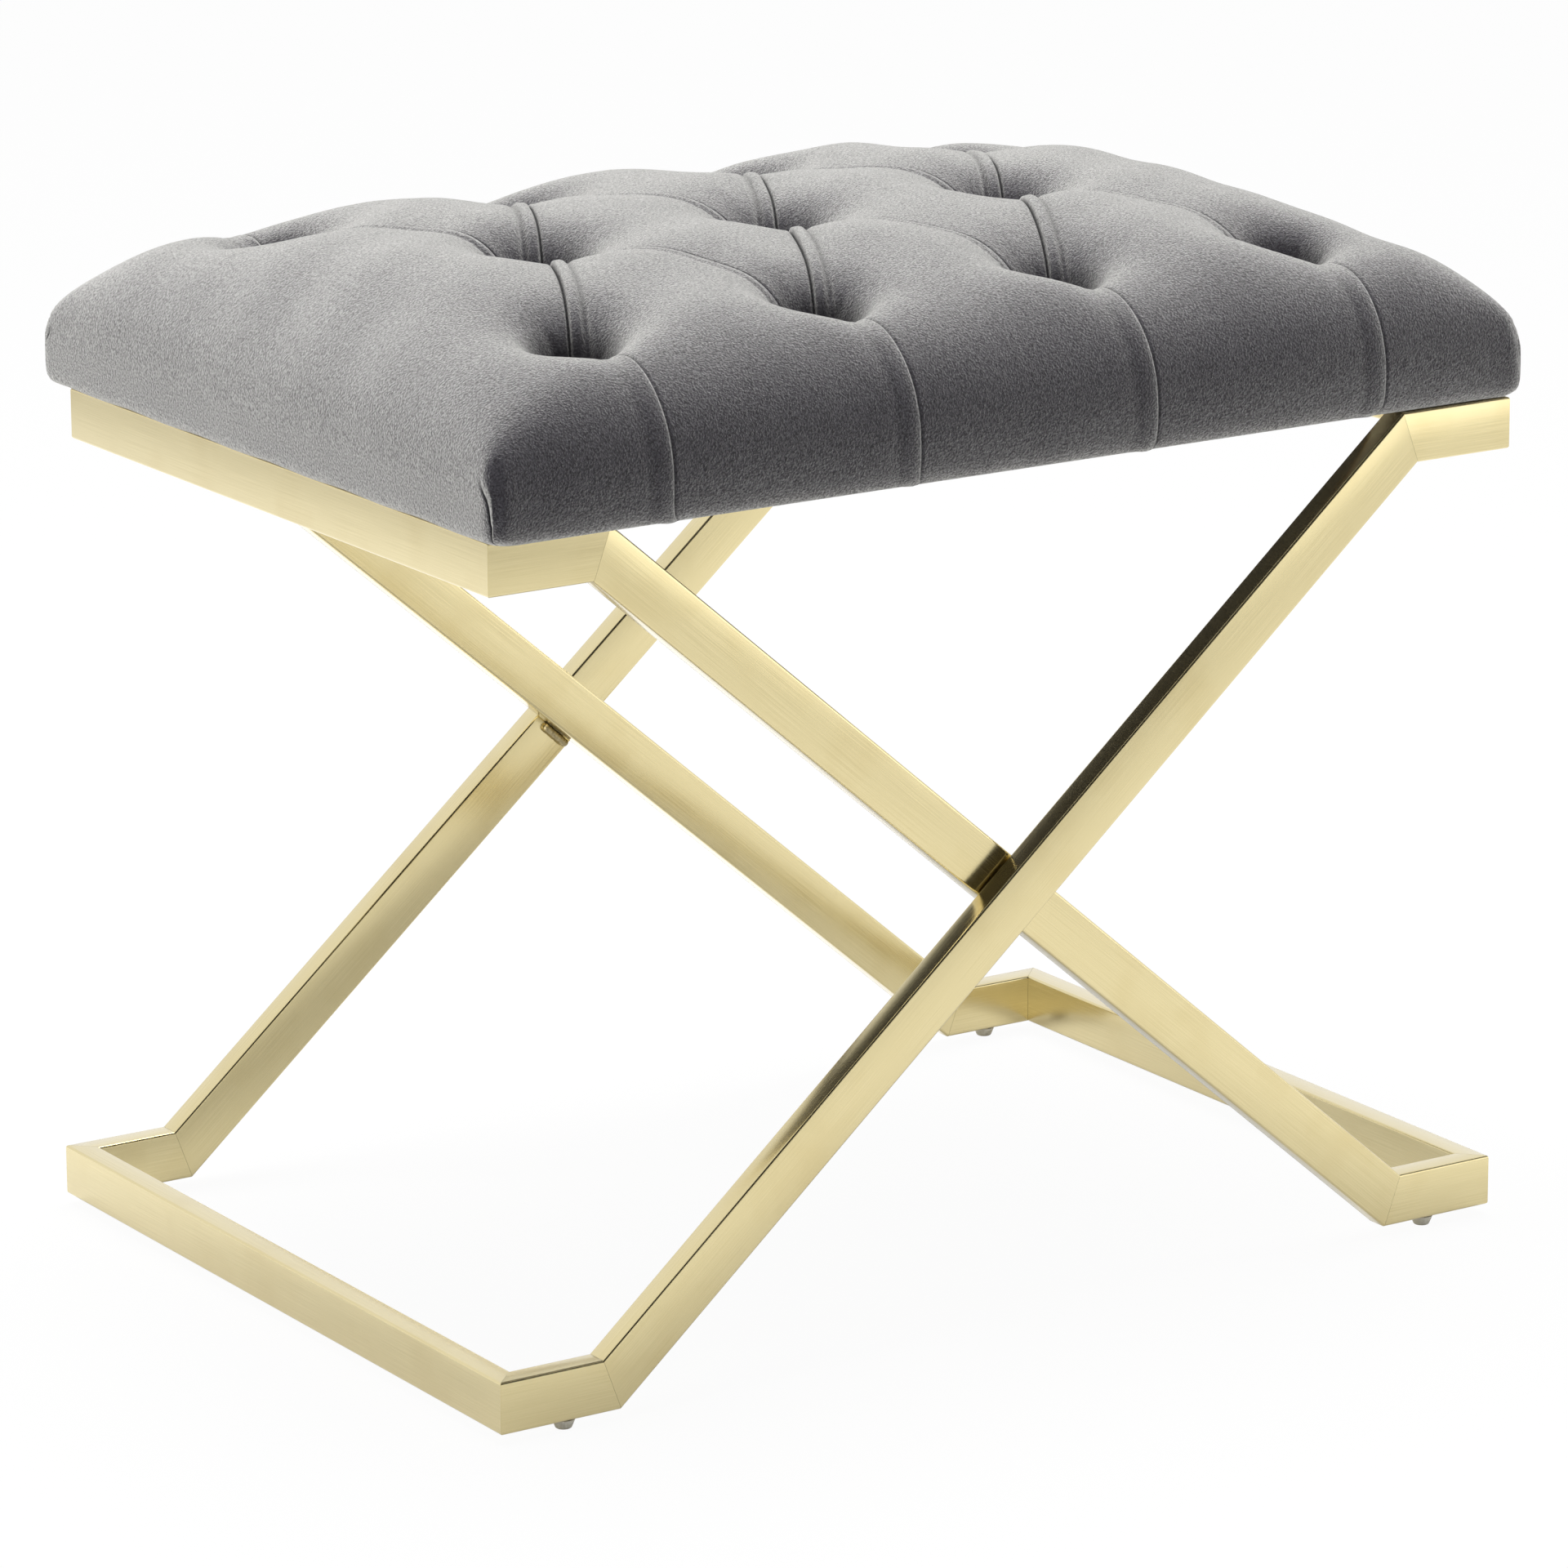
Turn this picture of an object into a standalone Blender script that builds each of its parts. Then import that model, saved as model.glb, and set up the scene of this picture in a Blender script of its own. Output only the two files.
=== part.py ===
"""Tufted velvet bench: a deep-buttoned seat on two crossing frames of mitred rectangular tube.

The wide outer frame has its top end at +X and its floor end at -X; the narrower inner frame is
turned the other way round and its legs pass just inside the outer ones, where they are welded.
Front is -Y, up is +Z, and the origin lies on the floor under the middle of the bench.
"""

import math

import bmesh
import bpy
from mathutils import Matrix, Vector

MM = 0.001

# Clearance left between pieces that touch
SEAT_GAP = 0.3 * MM

# Rectangular tube
TUBE_HEIGHT = 25.4 * MM
TUBE_THICKNESS = 12.7 * MM
TUBE_WALL = 1.2 * MM
TUBE_CORNER = 1.7 * MM
TUBE_CORNER_STEPS = 2

# The two frames
FRAME_HEIGHT = 415.0 * MM
TOP_LENGTH = 566.0 * MM
FLOOR_SPREAD = 8.0 * MM
OUTER_WIDTH = 424.0 * MM
FRAME_SPACING = 1.2 * MM
STUB_LENGTH = 60.0 * MM

# Welds at the two crossings
WELD_LENGTH = 18.0 * MM
WELD_LEG = 4.6 * MM
WELD_RIPPLES = 7
WELD_RIPPLE_DEPTH = 0.5 * MM
WELD_SECTION_STEPS = 4

# Push-in floor glides
GLIDE_HEIGHT = 5.0 * MM
GLIDE_TOP_RADIUS = 5.7 * MM
GLIDE_FOOT_RADIUS = 3.7 * MM
GLIDE_STEM_RADIUS = 3.2 * MM
GLIDE_STEM_LENGTH = 8.0 * MM
GLIDE_INSET = 37.0 * MM

# Seat: how far it stands out past the frames, and the board inside it
SEAT_END_OVERHANG = 7.5 * MM
SEAT_SIDE_OVERHANG = 2.5 * MM
DRAWN_IN = 3.5 * MM
COVER_THICKNESS = 1.2 * MM
COVER_HOLE_STEPS = 4
HEM_WIDTH = 26.0 * MM
BOARD_THICKNESS = 12.0 * MM
BOARD_CORNER = 12.0 * MM
DUST_COVER_THICKNESS = 0.6 * MM
DUST_COVER_MARGIN = 2.0 * MM

# Cushion form, with heights above the underside of the cover
WIDEST_HEIGHT = 15.5 * MM
EDGE_RISE = 60.0 * MM
CROWN_RISE = 19.0 * MM
CROWN_FULLNESS = 4
SIDE_ROUND = 68.0 * MM
END_ROUND = 78.0 * MM
SEAT_CORNER = 6.0 * MM
CORNER_FULLNESS = 7
SIDE_ROWS = 2
END_COLUMNS = 2

# Deep buttoning: rows of four, three and four tufts
TUFT_PITCH = 133.5 * MM
TUFT_ROW = 138.0 * MM
TUFT_COLUMNS = 4
TUFT_STEPS = 4
TUFT_DEPTH = 51.5 * MM
TUFT_SEAT_EASE = 3.5 * MM
TUFT_RIM = 9.5 * MM
BOWL_DEPTH = 17.0 * MM
BOWL_REACH = 60.0 * MM
PLEAT_DEPTH = 4.5 * MM
PLEAT_REACH = 34.0 * MM

# Covered buttons and the twine that draws them down
BUTTON_RADIUS = 9.0 * MM
BUTTON_HEIGHT = 6.0 * MM
BUTTON_RIM = 2.0 * MM
BUTTON_STEPS = 12
TIE_RADIUS = 0.8 * MM
TIE_CLEARANCE = 0.6 * MM
KNOT_RADIUS = 2.6 * MM
TIE_STEPS = 6

# Socket screws inside the top rails, up into nuts in the board
SCREW_RADIUS = 2.5 * MM
SCREW_CLEARANCE = 0.3 * MM
HEM_HOLE_EASE = 2.0 * MM
SCREW_SPREAD = 240.0 * MM
SCREW_HEAD_RADIUS = 4.25 * MM
SCREW_HEAD_HEIGHT = 5.0 * MM
SCREW_SOCKET_RADIUS = 2.2 * MM
SCREW_SOCKET_DEPTH = 2.6 * MM
SCREW_ACCESS_EASE = 0.5 * MM
SCREW_TIP = 1.0 * MM
SCREW_STEPS = 12
NUT_FLANGE_RADIUS = 9.0 * MM
NUT_FLANGE_THICKNESS = 1.2 * MM
NUT_BARREL_RADIUS = 4.0 * MM
NUT_BARREL_LENGTH = 9.0 * MM

# Derived positions
FRAME_TOP = GLIDE_HEIGHT + FRAME_HEIGHT
FLOOR_LENGTH = TOP_LENGTH + 2 * FLOOR_SPREAD
INNER_WIDTH = OUTER_WIDTH - 2 * (TUBE_THICKNESS + FRAME_SPACING)
COVER_BOTTOM = FRAME_TOP + SEAT_GAP
BOARD_BOTTOM = COVER_BOTTOM + COVER_THICKNESS + SEAT_GAP
BOARD_TOP = BOARD_BOTTOM + BOARD_THICKNESS
FOAM_BOTTOM = BOARD_TOP + SEAT_GAP
HALF_LENGTH = TOP_LENGTH / 2 + SEAT_END_OVERHANG
HALF_WIDTH = OUTER_WIDTH / 2 + SEAT_SIDE_OVERHANG
TUFT_SEAT_RADIUS = BUTTON_RADIUS + TUFT_SEAT_EASE
TUFT_RIM_RADIUS = TUFT_SEAT_RADIUS + TUFT_RIM
TUFT_SEAT_HEIGHT = WIDEST_HEIGHT + EDGE_RISE + CROWN_RISE - TUFT_DEPTH
TUFT_CELL = TUFT_PITCH / TUFT_STEPS
TUFT_HALF_COLUMNS = (TUFT_COLUMNS - 1) * TUFT_STEPS // 2
CORNER_PULL = SEAT_CORNER * (1.0 - math.sqrt(0.5))
RAIL_X = TOP_LENGTH / 2 - TUBE_THICKNESS / 2
DOWN = Vector((0.0, 0.0, -1.0))


# Scene set-up

for old in list(bpy.data.objects):
    bpy.data.objects.remove(old, do_unlink=True)

bench = bpy.data.collections.new("velvet_bench")
cutters = bpy.data.collections.new("velvet_bench_cutters")
bpy.context.scene.collection.children.link(bench)
bpy.context.scene.collection.children.link(cutters)

bench_origin = bpy.data.objects.new("bench_origin", None)
bench.objects.link(bench_origin)


def material(name, colour, roughness, metallic=0.0):
    """A Principled material from a linear colour."""
    made = bpy.data.materials.new(name)
    made.use_nodes = True
    shader = made.node_tree.nodes["Principled BSDF"]
    shader.inputs["Base Color"].default_value = (*colour, 1.0)
    shader.inputs["Roughness"].default_value = roughness
    shader.inputs["Metallic"].default_value = metallic
    return made


BRASS = material("brushed_brass", (0.72, 0.61, 0.33), 0.32, 1.0)
WELD = material("weld_metal", (0.55, 0.47, 0.30), 0.45, 1.0)
VELVET = material("grey_velvet", (0.13, 0.125, 0.13), 0.85)
FOAM = material("seat_foam", (0.80, 0.74, 0.55), 0.95)
PLYWOOD = material("plywood", (0.52, 0.36, 0.20), 0.70)
LINING = material("black_lining", (0.02, 0.02, 0.02), 0.90)
TWINE = material("waxed_twine", (0.62, 0.56, 0.42), 0.80)
NYLON = material("white_nylon", (0.78, 0.78, 0.74), 0.45)
ZINC = material("zinc_steel", (0.62, 0.62, 0.64), 0.35, 1.0)


def add_part(name, bm, surface, placement=None):
    """Turns a bmesh into a named part of the bench, at its place."""
    bmesh.ops.recalc_face_normals(bm, faces=bm.faces[:])
    mesh = bpy.data.meshes.new(name)
    bm.to_mesh(mesh)
    bm.free()
    mesh.materials.append(surface)
    part = bpy.data.objects.new(name, mesh)
    bench.objects.link(part)
    part.parent = bench_origin
    part.matrix_world = placement or Matrix.Identity(4)
    return part


def turned(name, profile, surface, place, steps, bored=False):
    """A turned part: a profile of (radius, height) points, outer side downwards, swept round Z."""
    bm = bmesh.new()
    points = [bm.verts.new((radius, 0.0, height)) for radius, height in profile]
    for upper, lower in zip(points, points[1:]):
        bm.edges.new((upper, lower))
    if bored:
        bm.edges.new((points[-1], points[0]))
    mesh = bpy.data.meshes.new(name)
    bm.to_mesh(mesh)
    bm.free()
    mesh.materials.append(surface)
    part = bpy.data.objects.new(name, mesh)
    bench.objects.link(part)
    part.parent = bench_origin
    part.location = place
    screw = part.modifiers.new("turn", "SCREW")
    screw.steps = steps
    screw.render_steps = steps
    screw.use_merge_vertices = True
    screw.merge_threshold = 0.00001
    return part


def drill(part, name, holes, sides):
    """Cuts round holes through a part: each hole is a top centre, a depth and a radius."""
    bm = bmesh.new()
    for top, depth, radius in holes:
        middle = top + DOWN * depth / 2
        bmesh.ops.create_cone(
            bm,
            cap_ends=True,
            segments=sides,
            radius1=radius,
            radius2=radius,
            depth=depth,
            matrix=Matrix.Translation(middle),
        )
    mesh = bpy.data.meshes.new(name)
    bm.to_mesh(mesh)
    bm.free()
    cutter = bpy.data.objects.new(name, mesh)
    cutters.objects.link(cutter)
    cutter.hide_render = True
    cutter.display_type = "WIRE"
    cut = part.modifiers.new("holes", "BOOLEAN")
    cut.operation = "DIFFERENCE"
    cut.solver = "EXACT"
    cut.object = cutter


# Tube frames

def tube(name, corners, index, side):
    """One hollow length of tube between two corners of a frame, mitred against its neighbours.

    side is the direction of the tube's narrow thickness.
    """
    before, start, end, after = (corners[(index + step) % len(corners)] for step in (-1, 0, 1, 2))
    along = (end - start).normalized()
    upright = along.cross(side)
    placement = Matrix.Translation((start + end) / 2)
    placement @= Matrix((along, side, upright)).transposed().to_4x4()
    length = (end - start).length + 4 * TUBE_HEIGHT

    bm = bmesh.new()
    size = Matrix.Diagonal((length, TUBE_THICKNESS, TUBE_HEIGHT, 1.0))
    bmesh.ops.create_cube(bm, size=1.0, matrix=size)
    open_ends = [face for face in bm.faces if abs(face.normal.x) > 0.5]
    bmesh.ops.delete(bm, geom=open_ends, context="FACES_ONLY")
    arrises = [edge for edge in bm.edges if edge.calc_length() > length / 2]
    bmesh.ops.bevel(
        bm,
        geom=arrises,
        offset=TUBE_CORNER,
        segments=TUBE_CORNER_STEPS,
        profile=0.5,
        affect="EDGES",
    )
    bmesh.ops.solidify(bm, geom=bm.faces[:], thickness=TUBE_WALL)

    local = placement.inverted()
    incoming = (start - before).normalized()
    outgoing = (after - end).normalized()
    for corner, facing in ((start, -(incoming + along)), (end, along + outgoing)):
        facing = facing.normalized()
        plane_point = local @ (corner - facing * SEAT_GAP / 2)
        plane_facing = local.to_3x3() @ facing
        everything = bm.verts[:] + bm.edges[:] + bm.faces[:]
        cut = bmesh.ops.bisect_plane(
            bm,
            geom=everything,
            plane_co=plane_point,
            plane_no=plane_facing,
            clear_outer=True,
        )
        rims = [piece for piece in cut["geom_cut"] if isinstance(piece, bmesh.types.BMEdge)]
        bmesh.ops.bridge_loops(bm, edges=rims)
    return add_part(name, bm, BRASS, placement)


TUBE_NAMES = (
    "front_top_stub",
    "top_rail",
    "back_top_stub",
    "back_leg",
    "back_floor_stub",
    "floor_rail",
    "front_floor_stub",
    "front_leg",
)


def tube_frame(prefix, width, turn):
    """A closed loop of eight tubes; turn is +1 with the top end at +X, or -1 for the other way."""
    y = (width - TUBE_THICKNESS) / 2
    top = FRAME_TOP - TUBE_HEIGHT / 2
    floor = GLIDE_HEIGHT + TUBE_HEIGHT / 2
    top_end = turn * RAIL_X
    top_knee = turn * (TOP_LENGTH / 2 - STUB_LENGTH)
    floor_end = -turn * (FLOOR_LENGTH / 2 - TUBE_THICKNESS / 2)
    floor_knee = -turn * (FLOOR_LENGTH / 2 - STUB_LENGTH)
    corners = [
        Vector((top_knee, -y, top)),
        Vector((top_end, -y, top)),
        Vector((top_end, y, top)),
        Vector((top_knee, y, top)),
        Vector((floor_knee, y, floor)),
        Vector((floor_end, y, floor)),
        Vector((floor_end, -y, floor)),
        Vector((floor_knee, -y, floor)),
    ]
    tubes = {}
    for index, name in enumerate(TUBE_NAMES):
        side = Vector((1.0, 0.0, 0.0)) if "rail" in name else Vector((0.0, 1.0, 0.0))
        tubes[name] = tube(f"{prefix}_{name}", corners, index, side)
    return tubes


# Floor glides: tapered plugs with a stem pressed into the underside of each floor stub

GLIDE_PROFILE = (
    (0.0, GLIDE_HEIGHT + GLIDE_STEM_LENGTH),
    (GLIDE_STEM_RADIUS * 0.8, GLIDE_HEIGHT + GLIDE_STEM_LENGTH),
    (GLIDE_STEM_RADIUS, GLIDE_HEIGHT + GLIDE_STEM_LENGTH * 0.8),
    (GLIDE_STEM_RADIUS, GLIDE_HEIGHT - SEAT_GAP),
    (GLIDE_TOP_RADIUS, GLIDE_HEIGHT - SEAT_GAP),
    (GLIDE_TOP_RADIUS, GLIDE_HEIGHT * 0.7),
    (GLIDE_FOOT_RADIUS, 0.0),
    (0.0, 0.0),
)


def add_glide(name, stub, x, y):
    """A glide, and the hole for its stem in the stub above it."""
    turned(name, GLIDE_PROFILE, NYLON, (x, y, 0.0), SCREW_STEPS)
    top = Vector((x, y, GLIDE_HEIGHT + TUBE_HEIGHT / 2))
    drill(stub, f"{name}_hole", [(top, TUBE_HEIGHT, GLIDE_STEM_RADIUS + SEAT_GAP)], SCREW_STEPS)


# Welds: a rippled fillet under the inner leg, against the inner face of the outer leg

def add_weld(name, facing):
    """facing is the Y direction from the outer leg towards the middle of the bench."""
    run = TOP_LENGTH / 2 + FLOOR_LENGTH / 2 - 2 * STUB_LENGTH
    rise = FRAME_HEIGHT - TUBE_HEIGHT
    slope = Vector((run, 0.0, -rise)).normalized()
    under = Vector((-rise, 0.0, -run)).normalized()
    crossing_share = (FLOOR_LENGTH / 2 - STUB_LENGTH) / run
    crossing = Vector((0.0, 0.0, GLIDE_HEIGHT + TUBE_HEIGHT / 2 + rise * crossing_share))
    crossing.y = -facing * (OUTER_WIDTH / 2 - TUBE_THICKNESS - SEAT_GAP)
    root = crossing + under * (TUBE_HEIGHT / 2 + SEAT_GAP)
    inward = Vector((0.0, facing, 0.0))

    bm = bmesh.new()
    rings = []
    stations = 2 * WELD_RIPPLES
    for station in range(stations + 1):
        at = root + slope * WELD_LENGTH * (station / stations - 0.5)
        leg = WELD_LEG - WELD_RIPPLE_DEPTH * (station % 2 == 0)
        ring = [bm.verts.new(at)]
        for step in range(WELD_SECTION_STEPS + 1):
            turn = math.pi / 2 * step / WELD_SECTION_STEPS
            reach = leg * (1.0 - 0.2 * math.sin(2 * turn))
            ring.append(bm.verts.new(at + inward * reach * math.cos(turn) + under * reach * math.sin(turn)))
        rings.append(ring)
    edges = []
    for ring in rings:
        edges.append([bm.edges.new((a, b)) for a, b in zip(ring, ring[1:] + ring[:1])])
    for first, second in zip(edges, edges[1:]):
        bmesh.ops.bridge_loops(bm, edges=first + second)
    bmesh.ops.contextual_create(bm, geom=edges[0])
    bmesh.ops.contextual_create(bm, geom=edges[-1])
    add_part(name, bm, WELD)


# Cushion form

def tuft_points():
    """The plan position of every tuft, row by row from the front."""
    points = []
    for row, count in ((-1, TUFT_COLUMNS), (0, TUFT_COLUMNS - 1), (1, TUFT_COLUMNS)):
        for column in range(count):
            x = (column - (count - 1) / 2) * TUFT_PITCH
            points.append(Vector((x, row * TUFT_ROW)))
    return points


def pleat_lines():
    """Folds between neighbouring tufts, and from the outer tufts down to the long edges."""
    tufts = tuft_points()
    front = tufts[:TUFT_COLUMNS]
    middle = tufts[TUFT_COLUMNS:-TUFT_COLUMNS]
    back = tufts[-TUFT_COLUMNS:]
    lines = []
    for index, centre in enumerate(middle):
        for outer_row in (front, back):
            lines.append((centre, outer_row[index]))
            lines.append((centre, outer_row[index + 1]))
    for outer_row in (front, back):
        for tuft in outer_row:
            lines.append((tuft, Vector((tuft.x, math.copysign(HALF_WIDTH, tuft.y)))))
    return lines


TUFTS = tuft_points()
PLEATS = pleat_lines()


def line_distance(point, line):
    """Distance in plan from a point to a straight fold."""
    start, end = line
    run = end - start
    share = (point - start).dot(run) / run.length_squared
    return (point - start - run * min(max(share, 0.0), 1.0)).length


def edge_rise(distance, reach):
    """A quarter-round rise from 0 at the edge to 1 at a distance of reach from it."""
    short = max(0.0, 1.0 - distance / reach)
    return max(math.sqrt(max(0.0, 1.0 - short * short)), 0.05)


def skin_height(point):
    """Height of the cover's outer face at a point in plan, above the cover's underside."""
    end_rise = edge_rise(HALF_LENGTH - abs(point.x), END_ROUND)
    side_rise = edge_rise(HALF_WIDTH - abs(point.y), SIDE_ROUND)
    share = end_rise ** -CORNER_FULLNESS + side_rise ** -CORNER_FULLNESS - 1.0
    share = share ** (-1.0 / CORNER_FULLNESS)

    end_fall = abs(point.x / HALF_LENGTH) ** CROWN_FULLNESS
    side_fall = (point.y / HALF_WIDTH) ** 2
    crown = EDGE_RISE + CROWN_RISE * (1.0 - end_fall) * (1.0 - side_fall)

    tuft_distance = min((point - tuft).length for tuft in TUFTS)
    bowl = BOWL_DEPTH * (1.0 + math.cos(math.pi * min(1.0, tuft_distance / BOWL_REACH))) / 2
    pleat_distance = min(line_distance(point, line) for line in PLEATS)
    fold = PLEAT_DEPTH * max(0.0, 1.0 - pleat_distance / PLEAT_REACH) ** 2
    plump = WIDEST_HEIGHT + share * (crown - bowl - fold)
    opening = min(max((tuft_distance - TUFT_SEAT_RADIUS) / TUFT_RIM, 0.0), 1.0)
    return TUFT_SEAT_HEIGHT + (plump - TUFT_SEAT_HEIGHT) * opening


def column_x(column, row):
    """Plan X of a grid line: a lattice that follows the pleats, then round the ends."""
    index = abs(column)
    if index > TUFT_HALF_COLUMNS:
        turn = math.pi / 2 * (1.0 - (index - TUFT_HALF_COLUMNS) / (END_COLUMNS + 1))
        x = HALF_LENGTH - END_ROUND * (1.0 - math.cos(turn))
        x = max(x, TUFT_HALF_COLUMNS * TUFT_CELL + (index - TUFT_HALF_COLUMNS) * TUFT_CELL / 4)
    else:
        staggered = abs(row) < TUFT_STEPS and row % 2 == 1 and index > 0
        x = (index - 0.5 * staggered) * TUFT_CELL
    return math.copysign(x, column)


def row_y(row):
    """Plan Y of a grid line: even steps between the tuft rows, then round the long sides."""
    index = abs(row)
    if index > TUFT_STEPS:
        turn = math.pi / 2 * (1.0 - (index - TUFT_STEPS) / (SIDE_ROWS + 1))
        y = HALF_WIDTH - SIDE_ROUND * (1.0 - math.cos(turn))
    else:
        y = index * TUFT_ROW / TUFT_STEPS
    return math.copysign(y, row)


def split_from_tuft(face):
    """Splits a quad beyond the outer rows from its corner nearest to a tuft, so that folds fan out."""
    corners = [loop.vert for loop in face.loops]
    nearest = min(range(4), key=lambda index: min((corners[index].co.xy - tuft).length for tuft in TUFTS))
    bmesh.utils.face_split(face, corners[nearest], corners[nearest - 2])


def cushion_skin(rings):
    """The cushion's outer skin: top grid, then rings of (outset, height) down its sides.

    An outset of 0 is the widest line of the seat.
    """
    half_columns = TUFT_HALF_COLUMNS + END_COLUMNS
    half_rows = TUFT_STEPS + SIDE_ROWS
    bm = bmesh.new()
    bmesh.ops.create_grid(
        bm,
        x_segments=2 * half_columns,
        y_segments=2 * half_rows,
        size=1.0,
        matrix=Matrix.Diagonal((half_columns, half_rows, 1.0, 1.0)),
    )
    outward = {}
    for vert in bm.verts:
        column = round(vert.co.x)
        row = round(vert.co.y)
        end = (abs(column) == half_columns) * (1 if column > 0 else -1)
        side = (abs(row) == half_rows) * (1 if row > 0 else -1)
        vert.co = (column_x(column, row), row_y(row), 0.0)
        if end or side:
            outward[vert] = Vector((end, side))
    for face in bm.faces[:]:
        if min(abs(vert.co.y) for vert in face.verts) > TUFT_ROW - TUFT_CELL / 4:
            split_from_tuft(face)
    bmesh.ops.triangulate(bm, faces=bm.faces[:], quad_method="SHORT_EDGE")

    at_tufts = []
    for vert in bm.verts:
        if min((vert.co.xy - tuft).length for tuft in TUFTS) < TUFT_CELL / 4:
            at_tufts.append(vert)
    bmesh.ops.bevel(bm, geom=at_tufts, offset=TUFT_RIM_RADIUS, segments=1, affect="VERTICES")
    seats = {}
    for face in bm.faces:
        tuft = min(TUFTS, key=lambda point: (face.calc_center_median().xy - point).length)
        if (face.calc_center_median().xy - tuft).length < TUFT_CELL / 4:
            seats[face] = tuft
    bmesh.ops.inset_individual(bm, faces=list(seats), thickness=TUFT_RIM)
    for face, tuft in seats.items():
        for vert in face.verts:
            vert.co.xy = tuft + (vert.co.xy - tuft).normalized() * TUFT_SEAT_RADIUS
    rim = {(round(v.co.x, 6), round(v.co.y, 6)): facing for v, facing in outward.items()}
    for vert in bm.verts:
        vert.co.z = skin_height(vert.co.xy)

    border = [edge for edge in bm.edges if edge.is_boundary]
    for outset, height in rings:
        grown = bmesh.ops.extrude_edge_only(bm, edges=border)["geom"]
        border = [piece for piece in grown if isinstance(piece, bmesh.types.BMEdge)]
        for vert in {vert for edge in border for vert in edge.verts}:
            key = (round(vert.co.x, 6), round(vert.co.y, 6))
            facing = rim[key]
            corner = CORNER_PULL * (facing.x != 0 and facing.y != 0)
            if facing.x:
                vert.co.x = facing.x * (HALF_LENGTH + outset - corner)
            if facing.y:
                vert.co.y = facing.y * (HALF_WIDTH + outset - corner)
            vert.co.z = height
            rim[(round(vert.co.x, 6), round(vert.co.y, 6))] = facing
    bmesh.ops.triangulate(bm, faces=[face for face in bm.faces if len(face.verts) == 4])
    return bm


def cover_skin():
    """The outer face of the cover: top, sides drawn in to the board's edge, and the hem under it."""
    hem = -DRAWN_IN - HEM_WIDTH
    return cushion_skin([(0.0, WIDEST_HEIGHT), (-DRAWN_IN, 0.0), (hem, 0.0)])


def shrink(verts, distance):
    """Moves part of a skin inwards by an even thickness."""
    moves = [(vert, vert.normal * vert.calc_shell_factor() * distance) for vert in verts]
    for vert, move in moves:
        vert.co -= move


BENCH_SEAT = Matrix.Translation((0.0, 0.0, COVER_BOTTOM))
TIE_HOLE = TIE_RADIUS + TIE_CLEARANCE
SCREW_PLACES = [Vector((end * RAIL_X, side * SCREW_SPREAD / 2)) for end in (1, -1) for side in (-1, 1)]
SCREW_HOLE = SCREW_RADIUS + SCREW_CLEARANCE


def add_cover():
    """The velvet cover: top and sides, turned under the board to a hem."""
    skin = cover_skin()
    outer_rim = [edge for edge in skin.edges if edge.is_boundary]
    bmesh.ops.recalc_face_normals(skin, faces=skin.faces[:])
    copied = bmesh.ops.duplicate(skin, geom=skin.verts[:] + skin.edges[:] + skin.faces[:])["geom"]
    backing = [piece for piece in copied if isinstance(piece, bmesh.types.BMVert)]
    skin.normal_update()
    shrink(backing, COVER_THICKNESS)
    bmesh.ops.reverse_faces(skin, faces=[piece for piece in copied if isinstance(piece, bmesh.types.BMFace)])
    inner_rim = [piece for piece in copied if isinstance(piece, bmesh.types.BMEdge) and piece.is_boundary]
    bmesh.ops.bridge_loops(skin, edges=outer_rim + inner_rim)
    cover = add_part("velvet_cover", skin, VELVET, BENCH_SEAT)
    seat_top = COVER_BOTTOM + TUFT_SEAT_HEIGHT
    through = 4 * COVER_THICKNESS
    holes = []
    for tuft in TUFTS:
        holes.append((Vector((tuft.x, tuft.y, seat_top + through / 2)), through, TIE_HOLE))
    for place in SCREW_PLACES:
        above_hem = Vector((place.x, place.y, COVER_BOTTOM + through / 2))
        holes.append((above_hem, through, SCREW_RADIUS + HEM_HOLE_EASE))
    drill(cover, "cover_holes", holes, COVER_HOLE_STEPS)


def add_foam():
    """The foam pad under the cover, with a channel for each tie."""
    skin = cover_skin()
    bmesh.ops.recalc_face_normals(skin, faces=skin.faces[:])
    skin.normal_update()
    shrink(skin.verts[:], COVER_THICKNESS + SEAT_GAP)
    base_point = Vector((0.0, 0.0, FOAM_BOTTOM - COVER_BOTTOM))
    everything = skin.verts[:] + skin.edges[:] + skin.faces[:]
    cut = bmesh.ops.bisect_plane(
        skin,
        geom=everything,
        plane_co=base_point,
        plane_no=DOWN,
        clear_outer=True,
    )
    base = [piece for piece in cut["geom_cut"] if isinstance(piece, bmesh.types.BMEdge)]
    bmesh.ops.contextual_create(skin, geom=base)
    foam = add_part("foam_pad", skin, FOAM, BENCH_SEAT)
    depth = 2 * TUFT_SEAT_HEIGHT
    top = COVER_BOTTOM + 1.5 * TUFT_SEAT_HEIGHT
    holes = [(Vector((tuft.x, tuft.y, top)), depth, TIE_HOLE) for tuft in TUFTS]
    drill(foam, "foam_channels", holes, TIE_STEPS)


def flat_panel(name, length, width, thickness, corner, surface, bottom):
    """A flat board or cloth with rounded corners in plan."""
    bm = bmesh.new()
    bmesh.ops.create_cube(bm, size=1.0, matrix=Matrix.Diagonal((length, width, thickness, 1.0)))
    uprights = [edge for edge in bm.edges if abs(edge.verts[0].co.z - edge.verts[1].co.z) > thickness / 2]
    bmesh.ops.bevel(bm, geom=uprights, offset=corner, segments=3, profile=0.5, affect="EDGES")
    middle = Matrix.Translation((0.0, 0.0, bottom + thickness / 2))
    return add_part(name, bm, surface, middle)


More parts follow.
